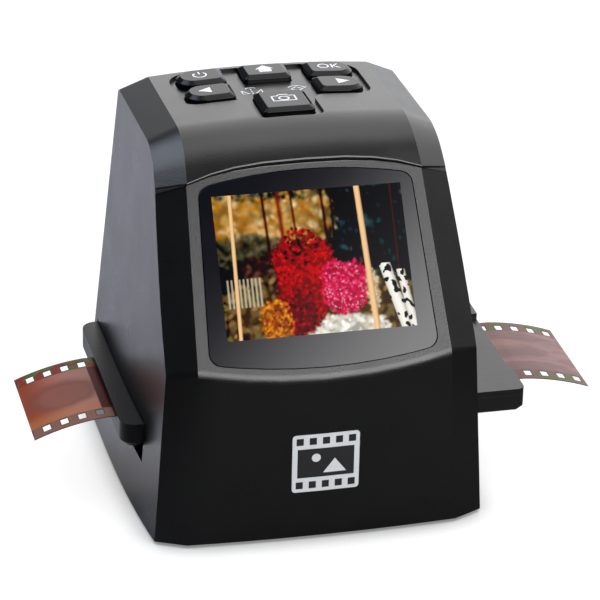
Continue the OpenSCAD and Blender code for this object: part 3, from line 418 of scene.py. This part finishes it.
# %% Letters on the confirming key
letters = bpy.data.curves.new("ok_letters", "FONT")
letters.body = "OK"
letters.size = LETTER_SIZE
letters.align_x, letters.align_y = "CENTER", "CENTER"
draft = bpy.data.objects.new("ok_draft", letters)
bpy.context.scene.collection.objects.link(draft)
ok_mark = bmesh.new()
ok_mark.from_mesh(draft.to_mesh())
bpy.data.objects.remove(draft)
printed(ok_mark, "ok_symbol", roof_frame(KEY_X, BACK_ROW_Y, KEY_RISE), "ok_key")

# %% Symbols in the pocket
mirror_mark = bmesh.new()
for y in (-1.9, -0.4, 1.1):
    bar(mirror_mark, (0, y), (0, y + 0.9), THIN_LINE)
for side in (-1, 1):
    outline(mirror_mark, [(side * 0.9, -1.6), (side * 2.7, -1.6), (side * 2.7, 0.9)], THIN_LINE)
arc(mirror_mark, 0, 1.2, 1.7, THIN_LINE, math.radians(35), math.radians(145), 10)
printed(mirror_mark, "mirror_symbol", roof_frame(MIRROR_X, MARKS_Y, 0), "housing")

turn_mark = bmesh.new()
outline(turn_mark, [(-1.6, -0.4), (0.0, -2.0), (1.6, -0.4), (0.0, 1.2)], THIN_LINE)
arc(turn_mark, 0, -0.4, 2.5, THIN_LINE, math.radians(20), math.radians(150), 14)
disc(turn_mark, 2.3, 0.6, 0.7, 3, math.radians(-95))
printed(turn_mark, "turn_symbol", roof_frame(TURN_X, MARKS_Y, 0), "housing")
print("symbols: power, home, arrows, OK, camera, mirror, turn")

# %% [markdown]
# ## Front plate
# A thin silver plate is bonded to the front, where such a machine shows what
# it is for. This one shows a frame of film with its two rows of holes and a
# small view, a sun over a hill. The front is slightly bowed, so each layer of
# the plate is drawn flat and then dropped onto the solid's surface along y.

# %% Lay flat work onto the front
shell_tree = BVHTree.FromPolygons([v.co for v in nodes["housing_shell"].data.vertices],
                                  [p.vertices for p in nodes["housing_shell"].data.polygons])
WELL_BEFORE = -0.1                                 # metres, each point starts this far in front


def laid_on_front(bm, name, material, thickness):
    outer = set(doubled(bm))
    bmesh.ops.recalc_face_normals(bm, faces=bm.faces)
    for v in bm.verts:
        start = Vector((v.co.x * MM, WELL_BEFORE, v.co.y * MM))
        hit = shell_tree.ray_cast(start, Vector((0, 1, 0)))[0]
        v.co = hit - Vector((0, thickness * MM if v in outer else 0, 0))
    bmesh.ops.recalc_face_normals(bm, faces=bm.faces)
    return as_piece(bm, name, material, "housing", angle=50)


# %% The silver plate and its openings
silver = finish("silver_plate", (0.56, 0.57, 0.58), 0.42, grain=2600, depth=0.12, tone=0.05, Metallic=0.15)
plate_dark = finish("plate_recess", (0.008, 0.008, 0.009), 0.5, grain=1300, depth=0.2)
PLATE_Z, PLATE_HALF_W, PLATE_HALF_H, PLATE_CORNER = 22.8, 9.0, 8.4, 1.0
HOLE_PITCH, HOLE_HALF_W, HOLE_H, HOLE_ROW = 3.5, 0.95, 2.0, 6.4
VIEW_HALF_W, VIEW_H = 7.6, 8.4

badge = bmesh.new()
plate_place = Matrix.Translation((0, PLATE_Z, 0)) @ Matrix.Diagonal((PLATE_HALF_W, PLATE_HALF_H, 1, 1))
bmesh.ops.create_grid(badge, x_segments=8, y_segments=8, size=1, matrix=plate_place)
corners = [v for v in badge.verts if len(v.link_edges) == 2]
bmesh.ops.bevel(badge, geom=corners, offset=PLATE_CORNER, segments=5, profile=0.5, affect="VERTICES", material=-1)
laid_on_front(badge, "film_badge", silver, 0.12)

holes = bmesh.new()
for row in (-1, 1):
    for k in range(5):
        x, z = (k - 2) * HOLE_PITCH, PLATE_Z + row * HOLE_ROW
        bar(holes, (x - HOLE_HALF_W, z), (x + HOLE_HALF_W, z), HOLE_H)
bar(holes, (-VIEW_HALF_W, PLATE_Z), (VIEW_HALF_W, PLATE_Z), VIEW_H, 12)
laid_on_front(holes, "badge_openings", plate_dark, 0.15)
view = bmesh.new()
disc(view, -2.6, PLATE_Z + 1.5, 1.2)
disc(view, 2.4, PLATE_Z - 1.7, 3.6, 3, math.pi / 2, 0.75)
laid_on_front(view, "badge_view", silver, 0.18)
print("front plate laid at", PLATE_Z, "mm")


# %% [markdown]
# ## Picture on the screen
# The display is lit from behind and lies right under the window, so its
# picture looks as if it were printed on the glass. It shows a made-up autumn
# garden that is painted here in code: golden trees, dark firs, a red maple, a
# pink bush, a birch, a pale path and two posts. The canvas is a fine grid of
# points. Dabs of colour are laid on it, far and soft ones first, so that near
# things cover far ones. The canvas is 1 wide, and x and y are shares of that.

# %% The canvas and one dab of the brush
FACET_Y, FACET_Z, FACET_TILT = -26.344, 72.5, math.radians(34.1)
PICTURE_W, PICTURE_H = 50.4, 37.8
COLUMNS, ROWS = 288, 216
TOP = ROWS / COLUMNS
canvas = [[Vector((0.05, 0.06, 0.06)) for _ in range(COLUMNS + 1)] for _ in range(ROWS + 1)]
brush = random.Random(11)


def span(middle, reach, last):
    return range(max(0, int((middle - reach) * COLUMNS)), min(last, int((middle + reach) * COLUMNS) + 1) + 1)


def dab(x, y, w, h, turn, color, cover=1.0, softness=0.6):
    reach = max(w, h)
    cos_t, sin_t = math.cos(turn), math.sin(turn)
    for row in span(y, reach, ROWS):
        for column in span(x, reach, COLUMNS):
            dx, dy = column / COLUMNS - x, row / COLUMNS - y
            out = math.hypot((dx * cos_t + dy * sin_t) / w, (dy * cos_t - dx * sin_t) / h)
            if out < 1:
                share = cover * min(1.0, (1 - out) / softness)
                canvas[row][column] = canvas[row][column].lerp(color, share)


# %% Many dabs
DAB_SQUASH = 0.62
GROUND_TONE, GROUND_REACH = 0.72, 1.04             # the dark mass behind the dabs


def foliage(x, y, w, h, colors, count, size, cover=0.85, softness=0.6, ground=0.0):
    if ground:
        mean = sum((Vector(c) for c in colors), Vector((0, 0, 0))) / len(colors)
        dab(x, y, w * GROUND_REACH, h * GROUND_REACH, 0, mean * GROUND_TONE, ground, 0.35)
    for _ in range(count):
        angle, out = brush.uniform(0, math.tau), math.sqrt(brush.random())
        scale, tone = size * brush.uniform(0.6, 1.3), brush.uniform(0.8, 1.15)
        dab(x + w * out * math.cos(angle), y + h * out * math.sin(angle), scale, scale * DAB_SQUASH,
            brush.uniform(0, math.pi), Vector(brush.choice(colors)) * tone,
            cover * brush.uniform(0.6, 1.0), softness)


# %% A round post or trunk, lit from the left
LIT, SHADE_RIGHT, SHADE_LEFT = 1.04, 0.42, 0.16
MARK_STRETCH, MARKS_FROM, MARK_TONE = (1.2, 34), 0.16, 0.1


def post(x_top, x_low, width, color, low=0.0, high=TOP, soft=0.3, marks=0.0):
    for row in range(int(low * COLUMNS), int(high * COLUMNS) + 1):
        v = row / COLUMNS
        x = x_low + (x_top - x_low) * v / TOP
        for column in span(x, width, COLUMNS):
            side = (column / COLUMNS - x) / width
            if abs(side) < 1:
                tone = LIT - SHADE_RIGHT * max(0.0, side) ** 2 - SHADE_LEFT * max(0.0, -side) ** 2
                place = Vector((side * MARK_STRETCH[0], v * MARK_STRETCH[1], marks))
                if marks and noise.noise(place) > MARKS_FROM:
                    tone *= MARK_TONE
                canvas[row][column] = canvas[row][column].lerp(color * tone, min(1.0, (1 - abs(side)) / soft))


# %% Blur, for what lies out of focus
def blurred(rounds):
    for _ in range(rounds):
        before = [row[:] for row in canvas]
        for row in range(1, ROWS):
            for column in range(1, COLUMNS):
                near = (before[row - 1][column] + before[row + 1][column]
                        + before[row][column - 1] + before[row][column + 1])
                canvas[row][column] = (before[row][column] * 2 + near) / 6


# %% Far trees
GOLDS = ((0.86, 0.66, 0.34), (0.93, 0.85, 0.66), (0.80, 0.50, 0.24), (0.62, 0.42, 0.22), (0.70, 0.60, 0.40))
FIRS = ((0.07, 0.11, 0.14), (0.10, 0.18, 0.21), (0.17, 0.26, 0.28), (0.05, 0.08, 0.10), (0.30, 0.36, 0.36))
FIELDS = ((0.32, 0.32, 0.27), (0.46, 0.43, 0.34), (0.22, 0.23, 0.22))
HEDGES = ((0.30, 0.22, 0.20), (0.44, 0.34, 0.30), (0.20, 0.17, 0.18))
FAR_SOFT = 0.9
TRUNKS = ((0.26, 0.010, 0.20), (0.34, 0.017, 0.46), (0.41, 0.008, 0.24), (0.57, 0.009, 0.16),
          (0.62, 0.006, 0.14), (0.69, 0.006, 0.22), (0.94, 0.008, 0.42))
GLINTS = ((0.020, 0.045, (0.34, 0.42, 0.45), 0.50,
           ((0.66, 0.56), (0.80, 0.58), (0.86, 0.47), (0.97, 0.55), (0.66, 0.44))),
          (0.016, 0.030, (0.42, 0.48, 0.48), 0.45,
           ((0.70, 0.42), (0.80, 0.44), (0.90, 0.40), (0.74, 0.52), (0.86, 0.56))))

foliage(0.22, 0.66, 0.34, 0.20, GOLDS, 520, 0.034, softness=FAR_SOFT, ground=0.9)
foliage(0.50, 0.60, 0.16, 0.16, GOLDS, 150, 0.026, softness=FAR_SOFT, ground=0.7)
foliage(0.86, 0.50, 0.26, 0.34, FIRS, 620, 0.034, softness=FAR_SOFT)
foliage(0.50, 0.74, 0.50, 0.035, FIRS, 130, 0.022, softness=FAR_SOFT)
foliage(0.15, 0.45, 0.22, 0.09, FIELDS, 200, 0.026, softness=FAR_SOFT, ground=0.8)
for x_top, width, tone in TRUNKS:
    bark = Vector((tone, tone * 0.46, tone * 0.36))
    post(x_top, x_top + (0.03 if x_top < 0.6 else 0.0), width, bark, low=0.30, soft=FAR_SOFT)
for width, height, color, cover, spots in GLINTS:
    for x, y in spots:
        dab(x, y, width, height, 0.05, Vector(color), cover, 1.0)
foliage(0.26, 0.36, 0.16, 0.07, HEDGES, 170, 0.022, softness=FAR_SOFT, ground=0.9)
blurred(2)
print("far trees painted")

# %% Ground, fence and path
EARTHS = ((0.52, 0.42, 0.30), (0.44, 0.40, 0.28), (0.64, 0.50, 0.36), (0.36, 0.30, 0.22))
PATH = ((0.93, 0.91, 0.86), (0.86, 0.82, 0.74), (0.97, 0.96, 0.93))
SLATS, SLAT_START, SLAT_PITCH = 9, 0.035, 0.021

foliage(0.30, 0.12, 0.36, 0.20, EARTHS, 420, 0.026, ground=0.8)
foliage(0.84, 0.12, 0.20, 0.18, EARTHS, 160, 0.026, ground=0.8)
for slat in range(SLATS):
    x = SLAT_START + slat * SLAT_PITCH
    post(x, x, 0.0085, Vector((0.74, 0.71, 0.60)), low=0.17, high=0.315, soft=0.7)
post(0.0, 0.22, 0.004, Vector((0.5, 0.47, 0.38)), low=0.26, high=0.27)
foliage(0.64, 0.02, 0.22, 0.075, PATH, 200, 0.022, ground=1.0)
print("ground painted")

# %% Maple, shrubs and blossom
REDS = ((0.76, 0.11, 0.10), (0.58, 0.06, 0.07), (0.90, 0.24, 0.18), (0.42, 0.05, 0.07), (0.84, 0.16, 0.13))
DARK_REDS = REDS[:2] + ((0.16, 0.08, 0.09),)
DEEP_REDS = REDS[:2] + ((0.28, 0.05, 0.06),)
AMBERS = ((0.88, 0.52, 0.18), (0.74, 0.38, 0.14), (0.95, 0.66, 0.30), (0.45, 0.22, 0.12))
PINKS = ((0.90, 0.22, 0.38), (0.80, 0.14, 0.30), (0.95, 0.36, 0.48))
REEDS = ((0.86, 0.76, 0.62), (0.76, 0.62, 0.46), (0.95, 0.90, 0.80))

post(0.50, 0.42, 0.014, Vector((0.20, 0.11, 0.09)), low=0.02, high=0.42)
foliage(0.44, 0.26, 0.150, 0.20, REDS, 480, 0.016, ground=0.95)
foliage(0.36, 0.40, 0.085, 0.08, REDS, 150, 0.016, ground=0.9)
foliage(0.53, 0.40, 0.080, 0.09, REDS, 150, 0.016, ground=0.9)
foliage(0.43, 0.46, 0.10, 0.10, DARK_REDS, 160, 0.015)
foliage(0.40, 0.12, 0.11, 0.13, DEEP_REDS, 180, 0.014, ground=0.9)
foliage(0.42, 0.34, 0.15, 0.20, ((0.98, 0.46, 0.36),), 60, 0.006)
foliage(0.27, 0.08, 0.090, 0.12, AMBERS, 280, 0.014, ground=0.95)
foliage(0.64, 0.20, 0.125, 0.11, PINKS, 330, 0.013, ground=0.95)
foliage(0.60, 0.30, 0.080, 0.08, PINKS, 150, 0.013, ground=0.95)
foliage(0.71, 0.28, 0.065, 0.09, PINKS, 140, 0.013, ground=0.95)
foliage(0.65, 0.235, 0.125, 0.125, ((1.0, 0.84, 0.86),), 130, 0.0065, softness=0.5)
foliage(0.79, 0.20, 0.035, 0.12, REEDS, 150, 0.013, ground=0.9)
blurred(1)
print("near bushes painted")

# %% Birch and posts
post(0.76, 0.95, 0.034, Vector((0.93, 0.92, 0.88)), high=0.34, soft=0.15, marks=3.0)
post(0.88, 0.99, 0.024, Vector((0.92, 0.90, 0.86)), high=0.30, soft=0.15, marks=8.0)
for x_top, x_low, width in ((0.093, 0.073, 0.0115), (0.763, 0.790, 0.0180)):
    post(x_top, x_low, width, Vector((0.93, 0.76, 0.56)), soft=0.25)
print("picture painted:", COLUMNS, "by", ROWS)

# %% [markdown]
# ## The lit picture
# The canvas becomes a fine sheet on the screen's facet, and each of its points
# carries its colour as an attribute. An image file would do the same, but this
# script brings its own. The sheet glows in those colours and mirrors little.

# %% The canvas as a sheet of coloured points
ABOVE_GLASS = 0.03                                 # millimetres
DISPLAY_GAMMA = 2.2
screen = bmesh.new()
bmesh.ops.create_grid(screen, x_segments=COLUMNS, y_segments=ROWS, size=0.5)
hue = screen.verts.layers.float_color.new("paint")
for v in screen.verts:
    paint = canvas[round((v.co.y + 0.5) * ROWS)][round((v.co.x + 0.5) * COLUMNS)]
    v[hue] = (*[max(0.0, min(1.0, c)) ** DISPLAY_GAMMA for c in paint], 1)
facet = (Matrix.Scale(MM, 4) @ Matrix.Translation((0, FACET_Y, FACET_Z))
         @ Matrix.Rotation(math.pi / 2 - FACET_TILT, 4, "X"))
screen.transform(facet @ Matrix.Translation((0, 0, ABOVE_GLASS)) @ Matrix.Diagonal((PICTURE_W, PICTURE_H, 1, 1)))

# %% Its glow
lit, lit_tree, lit_shader = blank_material("lit_picture", Base_Color=(0.003, 0.003, 0.004, 1), Roughness=0.08,
                                           Emission_Strength=1.0, Specular_IOR_Level=0.04)
paint_in = add_node(lit_tree, "ShaderNodeVertexColor", {"layer_name": "paint"})
lines = add_node(lit_tree, "ShaderNodeTexNoise", Scale=5000.0, Vector=spot_in(lit_tree))
grainy = add_node(lit_tree, "ShaderNodeBrightContrast", Color=paint_in.outputs["Color"], Contrast=0.08)
lit_bump = add_node(lit_tree, "ShaderNodeBump", Strength=0.002, Distance=0.01 * MM, Height=lines.outputs["Fac"])
plug(lit_tree, lit_shader.inputs["Emission Color"], grainy.outputs[0])
plug(lit_tree, lit_shader.inputs["Normal"], lit_bump.outputs[0])
picture = as_piece(screen, "garden_picture", lit, "housing")
print("picture:", len(picture.data.vertices), "points of colour")


# %% [markdown]
# ## Tray
# The tray is two flat mouldings joined by a hinge at the back. The lid's top
# was milled lengthwise in the mould, so it shows fine lines along the tray,
# and its long edges are round where fingers slide it. The end that sticks out
# on the left mirrors less than the rest, which is painted shade on it.

# %% Tray
SHADE_END_FROM, SHADE_END_TO = -40, -50                      # millimetres along the tray
tray_tree = tray_black.node_tree
tray_along = parts_of(tray_tree, spot_in(tray_tree))["X"]
# painted shade: the tray's left end mirrors less, so it looks darker
painted_shade_end = between(tray_tree, tray_along, SHADE_END_FROM * MM, SHADE_END_TO * MM, 0.4, 0.12)
plug(tray_tree, tray_tree.nodes["Principled BSDF"].inputs["Specular IOR Level"], painted_shade_end)
tray_lower = softened_copy("tray_base", tray_black, "tray", 0.35, segments=3)
tray_upper = softened_copy("tray_lid", tray_black, "tray", 0.3, segments=3)
print("tray:", len(tray_lower.data.polygons) + len(tray_upper.data.polygons), "faces")

# %% [markdown]
# ## Film
# Colour negative film has an orange mask, so clear parts look orange and
# exposed parts brown to dark red. Beside the frames runs the clear edge with
# its holes, where light that leaked in left a green tint. The strip shows
# two looks: warm on the left of the scanner, greyer on the right. All of
# it is one material whose colour comes from the place along and across.

# %% Places on the film
FILM_Y, PERF_PITCH, PERF_START, PERF_ROW = 4.3, 4.75, 3.5, 14.085
film_look, film_tree, film_shader = blank_material("colour_negative", Roughness=0.35, Alpha=0.985,
                                                   Specular_IOR_Level=0.05)
limit, mix = partial(between, film_tree), partial(blended, film_tree)
spot = spot_in(film_tree)
along = parts_of(film_tree, spot)["X"]
across = computed(film_tree, "SUBTRACT", parts_of(film_tree, spot)["Y"], FILM_Y * MM)
from_middle = computed(film_tree, "ABSOLUTE", across)
is_right = limit(along, 0, 20 * MM)
cloud = noise_on(film_tree, spot, 75)
streak = noise_on(film_tree, spot, 330, 4, (0.10, 1, 1))
patch = noise_on(film_tree, spot, 210, 1)

# %% The warm frame on the left, with a dark leaf in it
LEAF_X, LEAF_W, LEAF_H = -61.5, 9.0, 7.0
DARK_ORANGE, ROSE_ORANGE, CLEAR_ORANGE = (0.25, 0.045, 0.016, 1), (0.40, 0.175, 0.140, 1), (0.42, 0.15, 0.05, 1)
LEAF_BROWN, LEAF_RIM, DARK_RED_BY_TRAY = (0.165, 0.050, 0.036, 1), (0.23, 0.080, 0.058, 1), (0.055, 0.003, 0.002, 1)
leaf_place = add_node(film_tree, "ShaderNodeMapping", Vector=spot,
                      Location=(-LEAF_X / LEAF_W, -FILM_Y / LEAF_H, 0),
                      Scale=(1 / (LEAF_W * MM), 1 / (LEAF_H * MM), 0)).outputs[0]
leaf_out = add_node(film_tree, "ShaderNodeVectorMath", {"operation": "LENGTH"}, Vector=leaf_place).outputs["Value"]
leaf_edge = summed(film_tree, leaf_out, multiplied(film_tree, cloud, 0.9))
warm = mix(limit(along, -70 * MM, -58 * MM), DARK_ORANGE, ROSE_ORANGE)
warm = mix(limit(leaf_edge, 1.85, 1.15), warm, LEAF_BROWN)
warm = mix(limit(leaf_edge, 1.10, 1.45, 0.0, 0.8), LEAF_RIM, warm)
warm = mix(limit(across, -5 * MM, -11 * MM, 0.0, 0.6), warm, CLEAR_ORANGE)
# from -52.8 mm inwards, next to the tray, the warm film turns dark red
warm = mix(limit(along, -52.8 * MM, -52.4 * MM), warm, DARK_RED_BY_TRAY)

# %% The grey frame on the right, and the edges with their holes
GREY_ROSE, GREY_BROWN = (0.250, 0.150, 0.140, 1), (0.180, 0.105, 0.105, 1)
EDGE_RED, EDGE_GREEN, EDGE_ROSE = (0.20, 0.035, 0.022, 1), (0.085, 0.120, 0.030, 1), (0.20, 0.095, 0.075, 1)
EDGE_BROWN, EDGE_OLIVE = (0.155, 0.085, 0.080, 1), (0.105, 0.105, 0.050, 1)
negative = mix(is_right, warm, mix(limit(streak, 0.38, 0.62), GREY_ROSE, GREY_BROWN))
left_edge = mix(limit(patch, 0.53, 0.57), EDGE_RED, EDGE_GREEN)
left_edge = mix(limit(across, 0, 2 * MM), EDGE_ROSE, left_edge)
right_edge = mix(limit(patch, 0.50, 0.58), EDGE_BROWN, EDGE_OLIVE)
beside = limit(from_middle, 11.9 * MM, 12.2 * MM)
film_color = mix(beside, negative, mix(is_right, left_edge, right_edge))

# %% Dark rims around the holes and along the strip
HOLE_RIM, STRIP_RIM = (0.035, 0.020, 0.016, 1), (0.05, 0.018, 0.012, 1)
PITCHES_OFF = 40                                   # whole pitches that keep the place above zero
hole_shift = (PERF_PITCH * PITCHES_OFF - PERF_START) * MM
into_hole = computed(film_tree, "PINGPONG", summed(film_tree, along, hole_shift), PERF_PITCH / 2 * MM)
off_row = computed(film_tree, "ABSOLUTE", summed(film_tree, from_middle, -PERF_ROW * MM))
by_hole = multiplied(film_tree, limit(into_hole, 1.30 * MM, 1.15 * MM), limit(off_row, 1.75 * MM, 1.6 * MM), 0.7)
film_color = mix(by_hole, film_color, HOLE_RIM)
film_color = mix(limit(from_middle, 17.1 * MM, 17.4 * MM, 0.0, 0.75), film_color, STRIP_RIM)
plug(film_tree, film_shader.inputs["Base Color"], film_color)
film = softened_copy("film_strip", film_look, "film", 0)
print("film:", len(film.data.polygons), "faces")


# %% [markdown]
# ## Inside
# The inner pieces show through the slots and ports, when the tray is out, and
# in any cut view. They keep the solids' shapes and only get their finishes:
# green boards, tinned metal, black lens parts and the white light box.

# %% Finishes of the inside
board_green = finish("board_green", (0.012, 0.10, 0.045), 0.35, grain=700, depth=0.2, tone=0.25)
tinned = finish("tinned_metal", (0.62, 0.62, 0.64), 0.3, grain=1500, depth=0.15, Metallic=1.0)
inner_black = finish("inner_black", (0.016, 0.016, 0.017), 0.55, grain=1300, depth=0.4)
light_box_white = finish("light_box_white", (0.78, 0.78, 0.76), 0.5, grain=1200, depth=0.2, tone=0.03)
board_white = finish("board_white", (0.72, 0.74, 0.72), 0.4, grain=900, depth=0.15, tone=0.05)
lamp_yellow = finish("lamp_yellow", (0.80, 0.66, 0.22), 0.3, grain=2000, depth=0.1, tone=0.08)
milky = finish("milky_plastic", (0.85, 0.85, 0.84), 0.45, grain=1500, depth=0.1, tone=0.02)
foam = finish("gasket_foam", (0.03, 0.03, 0.03), 0.95, grain=2600, depth=1.0)
display_back = finish("display_back", (0.20, 0.22, 0.25), 0.35, grain=900, depth=0.2, Metallic=0.6)
chip_black = finish("chip_black", (0.02, 0.02, 0.021), 0.45, grain=2400, depth=0.3)
sensor_blue = finish("sensor_blue", (0.05, 0.07, 0.13), 0.12, grain=400, depth=0.02)
coated_glass = finish("coated_lens", (0.10, 0.12, 0.22), 0.04, grain=300, depth=0.002, spread=0.01)

inside = {
    board_green: ("button_board", "sensor_board", "main_board"),
    tinned: ("tact_switches", "usb_port", "card_socket"),
    steel: ("base_screws", "rear_screws", "bracket_screws", "button_board_screws", "guide_screws",
            "hood_screws", "main_board_screws", "hinge_pins"),
    inner_black: ("lcd_bracket", "tray_guide", "optics_hood", "lens_barrel"),
    light_box_white: ("backlight_case",), board_white: ("led_board",), lamp_yellow: ("backlight_leds",),
    milky: ("diffuser",), foam: ("screen_gasket",), display_back: ("lcd_panel",),
    chip_black: ("processor_chips",), sensor_blue: ("image_sensor",), coated_glass: ("lens_glass",),
    rubber: ("rubber_feet",),
}
for material, names in inside.items():
    for name in names:
        nodes[name].data.materials.clear()
        nodes[name].data.materials.append(material)
print("inner pieces dressed:", sum(len(names) for names in inside.values()))


# %% [markdown]
# ## Cross recesses of the screws
# The screws of the rear cover and under the base have a cross in their heads.
# A recess this small shows only as a dark cross, the shade inside it, so it
# need not be cut: two crossed dark bars lie a hair above each head as painted
# shade. The heads of one node are found as the separate islands of its mesh.

# %% Find each screw head
def head_centres(node, axis, side):
    heads = merged_copy(node)
    unseen, centres = set(heads.verts), []
    for start in heads.verts:
        if start not in unseen:
            continue
        unseen.discard(start)
        island, front = set(), [start]
        while front:
            v = front.pop()
            island.add(v)
            near = {e.other_vert(v) for e in v.link_edges} & unseen
            unseen -= near
            front.extend(near)
        lows, highs = (Vector([pick(v.co[i] for v in island) for i in range(3)]) for pick in (min, max))
        centre = (lows + highs) / 2
        centre[axis] = highs[axis] if side > 0 else lows[axis]
        centres.append(centre)
    heads.free()
    return centres


# %% Lay a cross of painted shade on each head
Y_AXIS, Z_AXIS = 1, 2
CROSS_REACH, CROSS_WIDTH, CROSS_RISE, CROSS_ROUND = 1.05, 0.42, 0.03, 0.12


def screw_crosses(name, node, axis, side):
    bm = bmesh.new()
    turn = Matrix.Rotation(math.pi / 2, 4, "X") if axis == Y_AXIS else Matrix.Identity(4)
    size = Matrix.Diagonal((2 * CROSS_REACH, CROSS_WIDTH, 2 * CROSS_RISE, 1))
    for centre in head_centres(node, axis, side):
        for quarter in (math.pi / 4, -math.pi / 4):
            arm = bmesh.ops.create_cube(bm, size=MM)["verts"]
            place = Matrix.Translation(centre) @ turn @ Matrix.Rotation(quarter, 4, "Z") @ size
            bmesh.ops.transform(bm, verts=arm, matrix=place)
            edges = dict.fromkeys(e for v in arm for e in v.link_edges)
            upright = [e for e in edges if abs(e.verts[0].co[axis] - e.verts[1].co[axis]) > CROSS_RISE * MM]
            bmesh.ops.bevel(bm, geom=upright, offset=CROSS_ROUND * MM, offset_type="OFFSET",
                            affect="EDGES", segments=2, profile=0.5, material=-1)
    # the crosses are painted shade, in the dark inner finish
    return as_piece(bm, name, inner_black, "housing")


crosses = [screw_crosses("rear_screw_crosses", "rear_screws", Y_AXIS, 1),
           screw_crosses("base_screw_crosses", "base_screws", Z_AXIS, -1),
           screw_crosses("guide_screw_crosses", "guide_screws", Z_AXIS, -1)]
print("crosses:", sum(len(piece.data.polygons) for piece in crosses), "faces")


# %% [markdown]
# ## Studio: the paper
# White paper lies under and behind the scanner. In such a picture the paper
# is lit until it is pure white, and only a soft shadow near the object stays.
# So the camera sees the paper dim with a glow added, and the glow fades close
# to whatever stands on it, which paints the soft contact shadow. Black plastic
# mirrors the paper too, and that is painted reflection: to mirror rays alone the
# paper is white behind the scanner, dark before it, where the room is dark,
# though less dark straight in front, and it glows by the left wall, a painted
# highlight on that wall's lower part. Light paths tell those kinds of rays apart.

# %% Paper sheet
paper_sheet = bmesh.new()
bmesh.ops.create_grid(paper_sheet, x_segments=1, y_segments=1, size=4)
floor_mesh = bpy.data.meshes.new("floor")
paper_sheet.to_mesh(floor_mesh)
paper_sheet.free()
floor = bpy.data.objects.new("floor", floor_mesh)
bpy.context.scene.collection.objects.link(floor)


# %% Tones of the paper for light, camera and mirror rays
def grey(tone):
    return (tone, tone, tone, 1)


PAPER, PAPER_SEEN, BEFORE, BEFORE_PLATE = grey(0.8), grey(0.16), grey(0.015), grey(0.10)
BEHIND = (0.58, 0.58, 0.64, 1)
paper, paper_tree, paper_shader = blank_material("white_paper", Roughness=0.9, Specular_IOR_Level=0.1)
limit, mix, both = partial(between, paper_tree), partial(blended, paper_tree), partial(multiplied, paper_tree)
rays = add_node(paper_tree, "ShaderNodeLightPath").outputs
seen, mirrored = rays["Is Camera Ray"], rays["Is Glossy Ray"]
floor_place = parts_of(paper_tree, spot_in(paper_tree))
x, y = floor_place["X"], floor_place["Y"]
to_the_back = summed(paper_tree, y, both(x, -0.5))
# painted reflection: the tones that mirror rays alone see of the paper
before_plate = both(limit(x, -0.11, -0.06), limit(x, 0.15, 0.10))
behind_it = both(limit(to_the_back, -0.04, 0.0), limit(y, -0.06, -0.01))
mirrored_tone = mix(behind_it, mix(before_plate, BEFORE, BEFORE_PLATE), BEHIND)
paper_tone = mix(mirrored, mix(seen, PAPER, PAPER_SEEN), mirrored_tone)
plug(paper_tree, paper_shader.inputs["Base Color"], paper_tone)

# %% Glow of the paper, with the contact shadow and the painted reflection by the left wall
SHADE_REACH = 0.009                                # metres
SEEN_GLOW, PAINTED_WALL_GLOW = 0.89, 0.33
near_feet = add_node(paper_tree, "ShaderNodeAmbientOcclusion", {"samples": 8}, Distance=SHADE_REACH).outputs["AO"]
seen_lift = both(seen, limit(near_feet, 0.15, 1.0, 0.22, 1.0), SEEN_GLOW)
# painted highlight: the paper glows to mirror rays by the left wall, which lights that wall's lower part
painted_wall_reflection = both(mirrored, limit(x, -0.10, -0.07), limit(x, -0.02, -0.04),
                 limit(y, 0.08, 0.03), limit(y, -0.02, 0.0), PAINTED_WALL_GLOW)
plug(paper_tree, paper_shader.inputs["Emission Strength"], summed(paper_tree, seen_lift, painted_wall_reflection))
paper_shader.inputs["Emission Color"].default_value = grey(1)
floor_mesh.materials.append(paper)
print("paper:", paper.name)

# %% [markdown]
# ## Studio: the light
# The light comes from large soft panels: a wide one behind, which the roof and
# the key tops mirror, a slanted one in front on the right, whose edge falls
# across the window, one high on the left for the left wall, and a weak one
# overhead. Lamps could do it, but panels painted into the surroundings by
# direction keep all shadows soft and cost no noise. Between them the room is
# nearly dark, so the forehead and the front stay black. x, y and z are the
# direction's parts; each limit is one soft edge of a panel.

# %% Panels by direction
BEHIND_GLOW, BEFORE_GLOW, ABOVE_GLOW, LEFT_GLOW, ROOM_GLOW = 2.15, 8.5, 0.7, 4.4, 0.02
world = bpy.data.worlds.new("studio")
bpy.context.scene.world = world
world.use_nodes = True
room_tree = world.node_tree
limit, both = partial(between, room_tree), partial(multiplied, room_tree)
way = parts_of(room_tree, spot_in(room_tree, "Generated"))
x, y, z = way["X"], way["Y"], way["Z"]
behind = both(limit(y, -0.30, 0.10), limit(z, -0.05, 0.10), limit(x, -0.25, 0.13, 0.05, 1.0), BEHIND_GLOW)
slanted = summed(room_tree, both(x, 6.0), both(z, -9.0))
before = both(limit(slanted, -4.70, -4.05), limit(x, -0.05, 0.10), limit(x, 0.62, 0.38),
              limit(z, 0.04, 0.16), limit(y, -0.15, -0.35), BEFORE_GLOW)
above = both(limit(z, 0.90, 0.98), ABOVE_GLOW)
left_high = both(limit(x, -0.22, -0.45), limit(z, 0.55, 0.75), limit(y, -0.28, -0.06), LEFT_GLOW)
strength = summed(room_tree, behind, before, above, left_high, ROOM_GLOW)

# %% Colour of the light, and a plain white backdrop for the camera
COOL_WHITE = (0.78, 0.86, 1, 1)
room = room_tree.nodes["Background"]
plug(room_tree, room.inputs["Strength"], strength)
plug(room_tree, room.inputs["Color"], blended(room_tree, limit(x, 0.0, -0.4), grey(1), COOL_WHITE))
plain = add_node(room_tree, "ShaderNodeBackground", Color=grey(1), Strength=1.0)
world_rays = add_node(room_tree, "ShaderNodeLightPath").outputs
chosen = add_node(room_tree, "ShaderNodeMixShader")
for socket, made in zip(chosen.inputs, (world_rays["Is Camera Ray"], room.outputs[0], plain.outputs[0])):
    plug(room_tree, socket, made)
plug(room_tree, room_tree.nodes["World Output"].inputs["Surface"], chosen.outputs[0])
bpy.context.scene.view_settings.view_transform = "Standard"
print("studio:", world.name)
